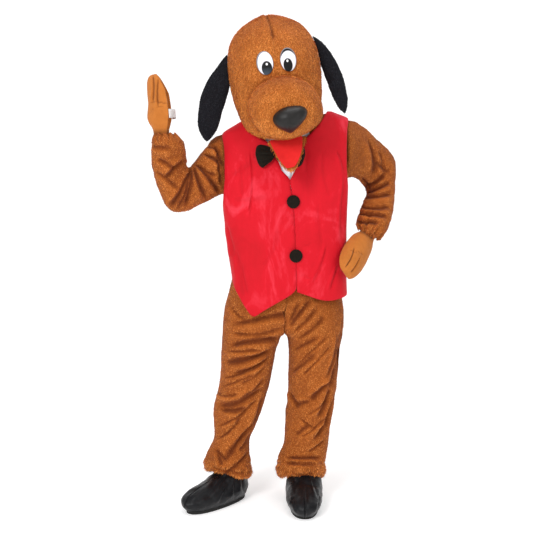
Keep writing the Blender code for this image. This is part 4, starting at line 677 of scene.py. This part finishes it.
# The shirt front: a bib of white satin with a close weave, sewn into the neck of the vest.
white_satin, shader, start = cloth("white_satin_cloth", 0.34, sheen_weight=0.2, coat_weight=0.15)
weave = start.stretched((1.0, 1.0, 0.12)).clouds(900.0, 2.0)
pools = start.clouds(16.0, 2.0)
colour = (pools * 0.8 + weave * 0.2).dyed((0.70, 0.72, 0.80), (0.90, 0.91, 0.96))
dress(shader, colour, pools * 0.2 + 0.26, weave * 0.3 + pools, 0.25, 0.003)
BIB_FOLDS = [
    (0.010, -0.080, 0.020, -0.235, 0.003, 0.006), (0.032, -0.090, 0.028, -0.230, 0.002, 0.005),
]
bib = outer_skin("shirt_front", "shirt_front_cloth")
smooth(bib, 3)
lay_folds(bib, BIB_FOLDS, -1, 40)
bib.data.materials.append(white_satin)
thicken(bib, 0.0012)
hold(bib, "shirt_front")

# The vest: two fronts of bright red velvet and a back of red satin. The velvet's nap is brushed in
# patches, a dart runs down from the shoulder, and the fronts close edge to edge under two buttons.
red_velvet, shader, start = cloth(
    "red_velvet_cloth", 0.78, sheen_weight=0.10, sheen_roughness=0.35, specular_ior_level=0.2
)
shader.inputs["Sheen Tint"].default_value = (1.0, 0.30, 0.36, 1)
brushed = start.stretched((1.0, 1.0, 0.55)).clouds(7.5, 5.0, 0.62, 0.9)
streaks = start.stretched((1.0, 1.0, 0.30)).clouds(60.0, 3.0, 0.6)
nap = start.clouds(700.0, 2.0, 0.7)
crease = start.creases()
# Lighter red in the brushed patches and pink where they are strongest: partly the nap's own uneven tone,
# partly painted sheen of the crushed nap.
ground = (brushed * 1.5 - 0.42 + streaks * 0.25).clamped().dyed((0.53, 0.002, 0.009), (0.76, 0.006, 0.022))
with_painted_sheen = (brushed * 3.6 + streaks * 0.5 - 2.10).clamped().dyed(ground, (0.85, 0.068, 0.105))
# painted shade: darker red in the folds, mixed with the nap's own random tone
colour = (crease * 0.30 + nap * 0.10).clamped().dyed(with_painted_sheen, (0.30, 0.001, 0.005))
dress(shader, colour, brushed * 0.25 + 0.60, nap * 0.5 + streaks * 0.4 + brushed, 0.35, 0.0025)
VEST_FOLDS = [
    (-0.126, -0.100, -0.131, -0.331, 0.006, 0.0045), (-0.181, -0.449, -0.153, -0.629, 0.005, 0.012),
    (-0.160, -0.492, -0.139, -0.615, 0.004, 0.008), (0.150, -0.437, 0.098, -0.569, 0.005, 0.008),
    (0.192, -0.510, 0.166, -0.596, 0.006, 0.007), (0.184, -0.093, 0.211, -0.171, 0.006, 0.009),
    (0.079, -0.093, 0.072, -0.171, 0.004, 0.010), (0.211, -0.182, 0.205, -0.413, 0.005, 0.008),
    (0.129, -0.093, 0.158, -0.270, 0.003, 0.014), (-0.205, -0.182, -0.084, -0.093, 0.004, 0.016),
    (-0.195, -0.270, -0.056, -0.256, 0.003, 0.020), (0.062, -0.435, 0.094, -0.424, 0.003, 0.008),
    (-0.085, -0.521, -0.020, -0.359, 0.003, 0.020), (-0.159, -0.129, -0.152, -0.270, 0.003, 0.010),
    (0.115, -0.270, 0.130, -0.449, 0.0025, 0.014), (0.055, -0.539, 0.095, -0.553, 0.0025, 0.010),
    (-0.213, -0.359, -0.189, -0.485, 0.005, 0.010),
]
NECK_HEIGHTS = (-0.228, -0.200, -0.185, -0.166, -0.130, -0.080, -0.045, 0.010)
FRONTS = [
    ("vest_front_right", (0.27, 0.70), 0.179, -0.060, (0, 0.007, 0, -0.013, -0.010, 0.006, 0.012, 0)),
    ("vest_front_left", (0.25, 0.69), 0.1585, 0.080, (0, -0.007, -0.003, 0.002, 0.000, -0.017, -0.027, 0)),
]
for seed, (node, cut, area, shoulder, shifts) in enumerate(FRONTS):
    front = outer_skin(node, node + "_cloth")
    smooth(front, 3)
    places, _ = points_of(front)
    edge = np.interp(places[:, 2], (-0.20, -0.05), (0.010, shoulder))
    reach = np.clip(1 - np.abs(places[:, 0] - edge) / 0.07, 0, 1)
    places[:, 0] += np.interp(places[:, 2], NECK_HEIGHTS, shifts, 0, 0) * reach
    from_tip = np.linalg.norm(places[:, [0, 2]] - np.array((-0.116, -0.683)), axis=1)
    places[:, 2] -= 0.010 * np.exp(-((from_tip / 0.022) ** 2))
    set_points(front, places)
    lay_folds(front, VEST_FOLDS, -1, 50 + seed)
    crumple(front, 0.0016, 0.08, 50 + seed)
    front.data.materials.append(red_velvet)
    thicken(front, 0.0015, share=0.5)
    hold(front, node)

red_satin, shader, start = cloth("red_satin_cloth", 0.38, specular_ior_level=0.35)
pulls = start.stretched((1.0, 1.0, 0.3)).clouds(18.0, 4.0, 0.6, 0.6)
weave = start.stretched((1.0, 1.0, 0.1)).clouds(800.0, 2.0)
share = pulls * 1.4 - 0.2 + weave * 0.15
colour = share.clamped().dyed((0.46, 0.002, 0.010), (0.74, 0.012, 0.026))
dress(shader, colour, pulls * 0.25 + 0.24, pulls + weave * 0.15, 0.45, 0.006)
BACK_VEST_FOLDS = [
    (0.226, -0.420, 0.214, -0.600, 0.006, 0.008), (0.196, -0.440, 0.176, -0.605, 0.006, 0.010),
    (0.120, -0.090, 0.150, -0.300, 0.005, 0.014), (-0.120, -0.090, -0.150, -0.300, 0.005, 0.014),
    (-0.190, -0.330, -0.110, -0.520, 0.006, 0.013), (0.150, -0.330, 0.080, -0.530, 0.006, 0.013),
    (-0.060, -0.330, -0.080, -0.560, 0.005, 0.012), (0.040, -0.380, 0.050, -0.590, 0.005, 0.012),
    (-0.200, -0.240, -0.100, -0.270, 0.004, 0.012), (0.200, -0.230, 0.100, -0.265, 0.004, 0.012),
]
back = outer_skin("vest_back", "vest_back_cloth")
smooth(back, 3)
lay_folds(back, BACK_VEST_FOLDS, 1, 60)
crumple(back, 0.0018, 0.07, 60)
back.data.materials.append(red_satin)
thicken(back, 0.0014, share=0.45)
hold(back, "vest_back")


# The two buttons: discs padded and covered with black velvet, sewn through to the left front.
def closed_form(node, name, levels):
    """A new piece on the whole of a solid, rounded by subdivision: stuffed and covered things."""
    piece = closed(opened(node), name, 40, 60)
    smooth(piece, levels)
    return piece


black_velvet, shader, start = cloth(
    "black_velvet_cloth", 0.82, specular_ior_level=0.1, sheen_weight=0.06, sheen_roughness=0.4
)
shader.inputs["Sheen Tint"].default_value = (0.85, 0.75, 0.60, 1)
patches = start.clouds(60.0, 3.0)
nap = start.clouds(900.0, 2.0, 0.7)
colour = (patches * 0.8 + nap * 0.3).dyed((0.004, 0.003, 0.002), (0.016, 0.012, 0.008))
dress(shader, colour, patches * 0.2 + 0.72, nap + patches * 0.5, 0.6, 0.0012)
for node in ("button_upper", "button_lower"):
    button = closed_form(node, node + "_cover", 2)
    low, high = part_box(node)
    middle = [(a + b) / 2 for a, b in zip(low, high)]
    dent(button, [((middle[0], low[1], middle[2]), 0.006, 0.0012)])
    button.data.materials.append(black_velvet)
    hold(button, node)

# The bow tie: two stuffed wings of the same velvet, pleated where the knot holds them.
for node, knot_x, tip_x in (("bow_wing_right", -0.036, -0.108), ("bow_wing_left", -0.004, 0.069)):
    wing = closed_form(node, node + "_cover", 3)
    places, _ = points_of(wing)
    low_share = np.clip((-0.108 - places[:, 2]) / 0.045, 0, 1) ** 1.4
    places[:, 0] += (0.68 * tip_x + 0.32 * knot_x - places[:, 0]) * 0.72 * low_share
    places[:, 2] -= 0.006 * low_share
    set_points(wing, places)
    folds = [(knot_x, -0.111 + rise, knot_x + (tip_x - knot_x) * 0.8, -0.112 + 2.6 * rise, 0.0035, 0.004)
             for rise in (-0.011, 0.001, 0.010)]
    lay_folds(wing, folds, -1, 70)
    wing.data.materials.append(black_velvet)
    hold(wing, node)
KNOT_FOLDS = [
    (-0.026, -0.135, -0.025, -0.086, 0.002, 0.003), (-0.014, -0.135, -0.015, -0.086, 0.002, 0.003),
]
knot = closed_form("bow_knot", "bow_knot_cover", 2)
lay_folds(knot, KNOT_FOLDS, -1, 71)
knot.data.materials.append(black_velvet)
hold(knot, "bow_knot")

# The head: two halves of a foam shell under a longer, lighter plush, sewn together on the crown. The
# seam is pressed in as a groove down to the brow, where painted shade shows it as a dark line. It
# leans a little to the wearer's right.
HEAD_PLACE = (-0.014, -0.015, -0.0007)
HEAD_TURN = (math.radians(10), math.radians(-8.7), math.radians(3))
# The ground's dyes are darker than the tufts': painted shade deep in the pile.
head_ground = plush_ground("head_plush_ground", (0.24, 0.055, 0.007), (0.60, 0.175, 0.026))
head_tufts = tuft_dyes("head_tuft", [
    (0.42, 0.105, 0.011), (0.56, 0.158, 0.019), (0.66, 0.2, 0.027), (0.76, 0.25, 0.039),
    (0.86, 0.325, 0.068),
])
HEAD_TUFT = (0.0080, 0.0012)
SEAM_FOLD = [(-0.078, 0.396, -0.041, 0.276, 0.009, 0.0070)]


def shade_beside(piece, nodes, reach, strength):
    """Paints shade on the cloth close to other solids: it is kept with the painted shade of the folds,
    so that the ground and the pile are painted darker there.
    """
    near = cover_tree(nodes)
    places, _ = points_of(piece)
    away = np.array([near.find_nearest(Vector(point))[3] for point in places])
    shade = strength * np.clip(1 - away / reach, 0, 1)
    kept, before = crease_of(piece)
    kept.data.foreach_set("value", np.maximum(before, shade).astype(np.float32))


for seed, node in enumerate(("head_right", "head_left")):
    half = outer_skin(node, node + "_cloth")
    smooth(half, 3)
    lay_folds(half, SEAM_FOLD, -1, 80)
    # painted shade on the head's pile round the muzzle
    shade_beside(half, ["muzzle"], 0.022, 0.9)
    crumple(half, 0.0018, 0.06, 80)
    half.data.materials.append(head_ground)
    covers = ["muzzle", "eye_right", "eye_left", "ear_right", "ear_left"]
    grow_pile(
        half, node + "_pile", 158000, HEAD_TUFT, head_tufts, 80 + seed, covers, rise=0.4, clump=0.009
    )
    thicken(half, 0.0070, share=0.4)
    hold(half, node)

# The muzzle: a foam cup covered with the same plush; painted shade on the face round it marks its
# seam as a soft crease.
muzzle = outer_skin("muzzle", "muzzle_cloth")
smooth(muzzle, 3)
dent(muzzle, [((0.108, -0.240, 0.015), 0.055, -0.015), ((-0.020, -0.200, 0.140), 0.060, -0.004)])
crumple(muzzle, 0.0016, 0.05, 82)
muzzle.data.materials.append(head_ground)
grow_pile(
    muzzle, "muzzle_pile", 165000, HEAD_TUFT, head_tufts, 83, ["nose"], rise=0.42, clump=0.009
)
thicken(muzzle, 0.0060, share=0.5)
hold(muzzle, "muzzle")

# The nose: stuffed black satin, a rounded triangle with a tuck at its foot.
black_satin, shader, start = cloth("black_satin_cloth", 0.40, specular_ior_level=0.3)
pools = start.clouds(30.0, 3.0)
weave = start.clouds(1100.0, 2.0, 0.7)
colour = (pools * 0.8 + weave * 0.2).dyed((0.004, 0.0035, 0.003), (0.014, 0.012, 0.011))
dress(shader, colour, pools * 0.3 + 0.30, weave * 0.4 + pools * 0.4, 0.35, 0.0015)
nose = closed_form("nose", "nose_cover", 3)
places, _ = points_of(nose)
height = np.clip((places[:, 2] + 0.041) / 0.084, 0, 1)
widened = 0.010 - 0.009 * height + places[:, 0] * (0.52 + 0.56 * height**0.7)
places[:, 0] = widened + 0.010 * height * np.clip(places[:, 0] / 0.03, 0, 1)
places[:, 2] += 0.30 * np.minimum(places[:, 0], 0) - 0.006 * (1 - height)
set_points(nose, places)
dent(nose, [((0.010, -0.372, -0.022), 0.012, -0.0035), ((-0.004, -0.376, -0.014), 0.008, 0.0030),
            ((0.022, -0.376, -0.012), 0.008, 0.0020)])
nose.data.materials.append(black_satin)
hold(nose, "nose")

# The eyes: flat ovals of coated white cloth, with the pupil, its shine and a dark lid printed on
# them, glued to the face.
printed, shader, start = cloth("printed_eye_cloth", 0.5, specular_ior_level=0.15)
on_head = start.node("ShaderNodeMapping", {"vector_type": "TEXTURE"}, {
    "Vector": start, "Location": HEAD_PLACE, "Rotation": HEAD_TURN,
})
across = on_head.node("ShaderNodeSeparateXYZ", {}, {0: on_head}, "X")
up = on_head.node("ShaderNodeSeparateXYZ", {}, {0: on_head}, "Z")


def oval(x, z, half_x, half_z, sharp=22.0):
    """1 inside an oval of the face and 0 outside it."""
    reach = (((across - x) / half_x) ** 2.0 + ((up - z) / half_z) ** 2.0) ** 0.5
    return ((1.0 - reach) * sharp + 0.5).clamped()


whites = oval(-0.040, 0.240, 0.0265, 0.0380) + oval(0.040, 0.240, 0.0265, 0.0380)
fibres = start.clouds(900.0, 2.0)
colour = (whites + fibres * 0.08).dyed((0.20, 0.20, 0.22), (0.86, 0.85, 0.92))
lids = whites - oval(-0.0382, 0.2378, 0.0272, 0.0392) - oval(0.0405, 0.2300, 0.0290, 0.0400)
colour = lids.clamped().dyed(colour, (0.012, 0.011, 0.012))
pupils = oval(-0.036, 0.222, 0.0180, 0.0245) + oval(0.037, 0.223, 0.0160, 0.0225)
tint = ((0.226 - up) * 46.0).clamped() * (0.5 - across * 14.0).clamped()
pupil_colour = tint.dyed((0.008, 0.008, 0.009), (0.055, 0.075, 0.100))
colour = pupils.clamped().dyed(colour, pupil_colour)
shines = oval(-0.0350, 0.2360, 0.0036, 0.0042, 6.0) + oval(0.0365, 0.2370, 0.0036, 0.0042, 6.0)
dress(shader, shines.clamped().dyed(colour, (0.95, 0.95, 0.97)), None, fibres, 0.15, 0.0008)
for node in ("eye_right", "eye_left"):
    eye = closed_form(node, node + "_print", 3)
    eye.data.materials.append(printed)
    hold(eye, node)

# The ears: flat, lightly stuffed black plush with a bluish bloom, hanging from the sides of the head.
ear_ground = plush_ground("black_plush_ground", (0.002, 0.002, 0.003), (0.010, 0.010, 0.016))
ear_tufts = tuft_dyes("black_tuft", [
    (0.002, 0.002, 0.003), (0.005, 0.005, 0.008), (0.009, 0.009, 0.015), (0.018, 0.018, 0.026),
])
EAR_TUFT = (0.0050, 0.0013)
EAR_DENTS = {
    "ear_right": [
        ((-0.207, -0.08, 0.170), 0.030, -0.005), ((-0.235, -0.10, 0.190), 0.020, 0.005),
        ((-0.215, -0.10, 0.165), 0.018, 0.004), ((-0.270, -0.10, 0.060), 0.035, 0.003),
        ((-0.295, -0.10, -0.010), 0.030, -0.002),
    ],
    "ear_left": [
        ((0.135, -0.09, 0.255), 0.022, 0.004), ((0.165, -0.09, 0.205), 0.024, 0.003),
        ((0.195, -0.09, 0.110), 0.030, 0.003),
    ],
}
for seed, node in enumerate(("ear_right", "ear_left")):
    ear = closed_form(node, node + "_cover", 3)
    dent(ear, EAR_DENTS[node])
    crumple(ear, 0.0014, 0.03, 90 + seed)
    ear.data.materials.append(ear_ground)
    grow_pile(
        ear, node + "_pile", 130000, EAR_TUFT, ear_tufts, 90 + seed, ["head_right", "head_left"]
    )
    hold(ear, node)

# The lower jaw: a plush scoop sewn under the muzzle, lined with bright red felted plush, the brown
# pile standing out round the lining's edge.
def taper(piece):
    """Narrows the scoop towards its tip."""
    places, _ = points_of(piece)
    down = np.clip((-0.060 - places[:, 2]) / 0.095, 0, 1)
    places[:, 0] += (0.014 - places[:, 0]) * 0.34 * down
    set_points(piece, places)


jaw = closed_form("lower_jaw", "lower_jaw_cloth", 3)
taper(jaw)
places, _ = points_of(jaw)
flare = np.clip((places[:, 2] + 0.090) / 0.04, 0, 1)  # the corners of the mouth spread
places[:, 0] += flare * np.interp(places[:, 0], (-0.06, -0.03, 0.02, 0.06), (-0.008, 0, 0, 0.013))
set_points(jaw, places)
jaw.data.materials.append(head_ground)
JAW_TUFT = (0.0135, 0.0014)
grow_pile(
    jaw, "lower_jaw_pile", 260000, JAW_TUFT, head_tufts, 95, ["mouth_lining", "muzzle"], rise=0.5
)
hold(jaw, "lower_jaw")
red_lining, shader, start = cloth(
    "red_lining_cloth", 0.78, specular_ior_level=0.25, sheen_weight=0.10
)
felt = start.clouds(500.0, 3.0, 0.7)
patches = start.clouds(40.0, 3.0)
colour = (patches * 0.8 + felt * 0.3).dyed((0.62, 0.004, 0.006), (0.84, 0.020, 0.018))
dress(shader, colour, None, felt + patches, 0.5, 0.0015)
lining = closed_form("mouth_lining", "mouth_lining_cloth", 3)
taper(lining)
lining.data.materials.append(red_lining)
hold(lining, "mouth_lining")

# The mitts: padded covers for the backs of the hands in smooth tan plush, with sewn lines between the
# fingers, open on the palm and held by a white elastic across it.
tan_plush, shader, start = cloth(
    "tan_plush_cloth", 0.86, specular_ior_level=0.25, sheen_weight=0.15, sheen_roughness=0.45
)
shader.inputs["Sheen Tint"].default_value = (1.0, 0.80, 0.60, 1)
patches = start.clouds(22.0, 4.0, 0.6, 0.5)
nap = start.clouds(800.0, 2.0, 0.7)
crease = start.creases()
colour = (patches * 1.2 - 0.15 + nap * 0.2).clamped().dyed((0.38, 0.110, 0.013), (0.58, 0.190, 0.032))
# painted shade: darker in the sewn lines, the folds and where the mitt goes into the cuff
colour = (crease * 0.9).clamped().dyed(colour, (0.13, 0.030, 0.004))
dress(shader, colour, None, nap + patches * 0.6, 0.6, 0.0015)
white_elastic, shader, start = cloth("white_elastic_cloth", 0.7, sheen_weight=0.2)
inlets = {"Vector": start, "Scale": 160.0, "Distortion": 0.6}
ribs = start.node("ShaderNodeTexWave", {"bands_direction": "Z"}, inlets, 1)
dress(shader, ribs.dyed((0.62, 0.62, 0.62), (0.86, 0.86, 0.85)), None, ribs, 0.6, 0.0008)
LEAN_HEIGHTS = (-0.045, 0.025, 0.105, 0.165)
RIGHT_LEAN = (0.009, 0, 0, 0.016)  # the wrist and the finger tips stand out to the side
MITTS = [
    ("mitt_right", "mitt_strap_right", "sleeve_right", [
        (-0.459, 0.164, -0.460, 0.064, 0.006, 0.0040), (-0.439, 0.148, -0.440, 0.046, 0.006, 0.0040),
        (-0.474, 0.062, -0.405, 0.058, 0.004, 0.0040), (-0.470, 0.040, -0.410, 0.048, 0.003, 0.0040)],
        [((-0.410, -0.195, 0.085), 0.045, -0.006), ((-0.468, -0.190, 0.100), 0.012, -0.003),
         ((-0.449, -0.205, 0.110), 0.010, -0.003), ((-0.476, -0.183, 0.018), 0.030, -0.009),
         ((-0.405, -0.185, 0.020), 0.028, -0.005)]),
    ("mitt_left", "mitt_strap_left", "sleeve_left", [
        (0.250, -0.439, 0.211, -0.514, 0.006, 0.0038), (0.271, -0.473, 0.234, -0.531, 0.006, 0.0038),
        (0.232, -0.448, 0.262, -0.462, 0.003, 0.0040), (0.252, -0.452, 0.284, -0.470, 0.003, 0.0040)],
        [((0.240, -0.130, -0.480), 0.025, -0.003), ((0.275, -0.080, -0.440), 0.030, -0.003)]),
]
for seed, (node, strap_node, sleeve_node, lines, swellings) in enumerate(MITTS):
    mitt = outer_skin(node, node + "_cloth")
    smooth(mitt, 3)
    dent(mitt, swellings)
    if node == "mitt_right":
        places, _ = points_of(mitt)
        places[:, 0] -= np.interp(places[:, 2], LEAN_HEIGHTS, RIGHT_LEAN)
        set_points(mitt, places)
    # painted shade on the mitt where it goes into the cuff
    shade_beside(mitt, [sleeve_node], 0.016, 0.9)
    lay_folds(mitt, lines, -1, 100 + seed)
    crumple(mitt, 0.0012, 0.03, 100 + seed)
    mitt.data.materials.append(tan_plush)
    thicken(mitt, 0.0080)
    hold(mitt, node)
    strap = outer_skin(strap_node, strap_node + "_band")
    smooth(strap, 2)
    strap.data.materials.append(white_elastic)
    thicken(strap, 0.0013)
    hold(strap, strap_node)

# The shoe covers: an inner and an outer half of thin coated black cloth, sewn over the toe and at
# the heel, creased where the foot bends, on a thin rubber sole.
coated, shader, start = cloth("coated_black_cloth", 0.34, specular_ior_level=0.22)
pools = start.clouds(24.0, 4.0, 0.6, 0.8)
grain = start.clouds(700.0, 3.0, 0.7)
crease = start.creases()
colour = (pools * 0.9 + grain * 0.2).dyed((0.002, 0.002, 0.0025), (0.010, 0.010, 0.012))
dress(shader, colour, pools * 0.34 + 0.18 + crease * 0.15, pools + grain * 0.12, 0.55, 0.005)
RIGHT_COVER_FOLDS = [
    (-0.250, -1.300, -0.330, -1.352, 0.006, 0.008), (-0.215, -1.285, -0.290, -1.345, 0.006, 0.007),
    (-0.180, -1.290, -0.185, -1.370, 0.004, 0.006), (-0.205, -1.320, -0.240, -1.378, 0.004, 0.007),
    (-0.160, -1.300, -0.150, -1.372, 0.004, 0.006), (-0.300, -1.310, -0.360, -1.330, 0.003, 0.006),
]
LEFT_COVER_FOLDS = [
    (0.055, -1.292, 0.030, -1.330, 0.005, 0.006), (0.098, -1.292, 0.118, -1.335, 0.005, 0.006),
    (0.070, -1.308, 0.130, -1.322, 0.004, 0.006), (0.022, -1.330, 0.040, -1.372, 0.004, 0.005),
    (0.125, -1.335, 0.110, -1.378, 0.004, 0.005), (0.075, -1.300, 0.075, -1.386, 0.004, 0.003),
]
COVER_SWELLINGS = [
    ((-0.345, -0.170, -1.325), 0.050, -0.011), ((-0.285, -0.155, -1.285), 0.045, -0.012),
    ((0.002, -0.060, -1.310), 0.035, -0.008), ((0.138, -0.060, -1.320), 0.035, -0.009),
    ((0.070, -0.270, -1.350), 0.060, -0.006),
]
COVERS = [
    ("shoe_cover_inner_right", RIGHT_COVER_FOLDS), ("shoe_cover_outer_right", RIGHT_COVER_FOLDS),
    ("shoe_cover_inner_left", LEFT_COVER_FOLDS), ("shoe_cover_outer_left", LEFT_COVER_FOLDS),
]
for seed, (node, folds) in enumerate(COVERS):
    cover = outer_skin(node, node + "_cloth")
    smooth(cover, 3)
    dent(cover, COVER_SWELLINGS)
    lay_folds(cover, folds, -1, 110 + seed // 2)
    crumple(cover, 0.0020, 0.028, 110 + seed)
    cover.data.materials.append(coated)
    thicken(cover, 0.0018, share=0.5)
    hold(cover, node)
sole_rubber, shader, start = cloth("sole_rubber_sheet", 0.78, specular_ior_level=0.15)
grip = start.node("ShaderNodeTexVoronoi", {}, {"Vector": start, "Scale": 220.0})
dust = start.clouds(30.0, 4.0)
dress(shader, dust.dyed((0.008, 0.008, 0.008), (0.040, 0.038, 0.036)), dust * 0.2 + 0.66, grip, 0.5, 0.001)
for node in ("sole_right", "sole_left"):
    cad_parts[node].material_slots[0].material = sole_rubber
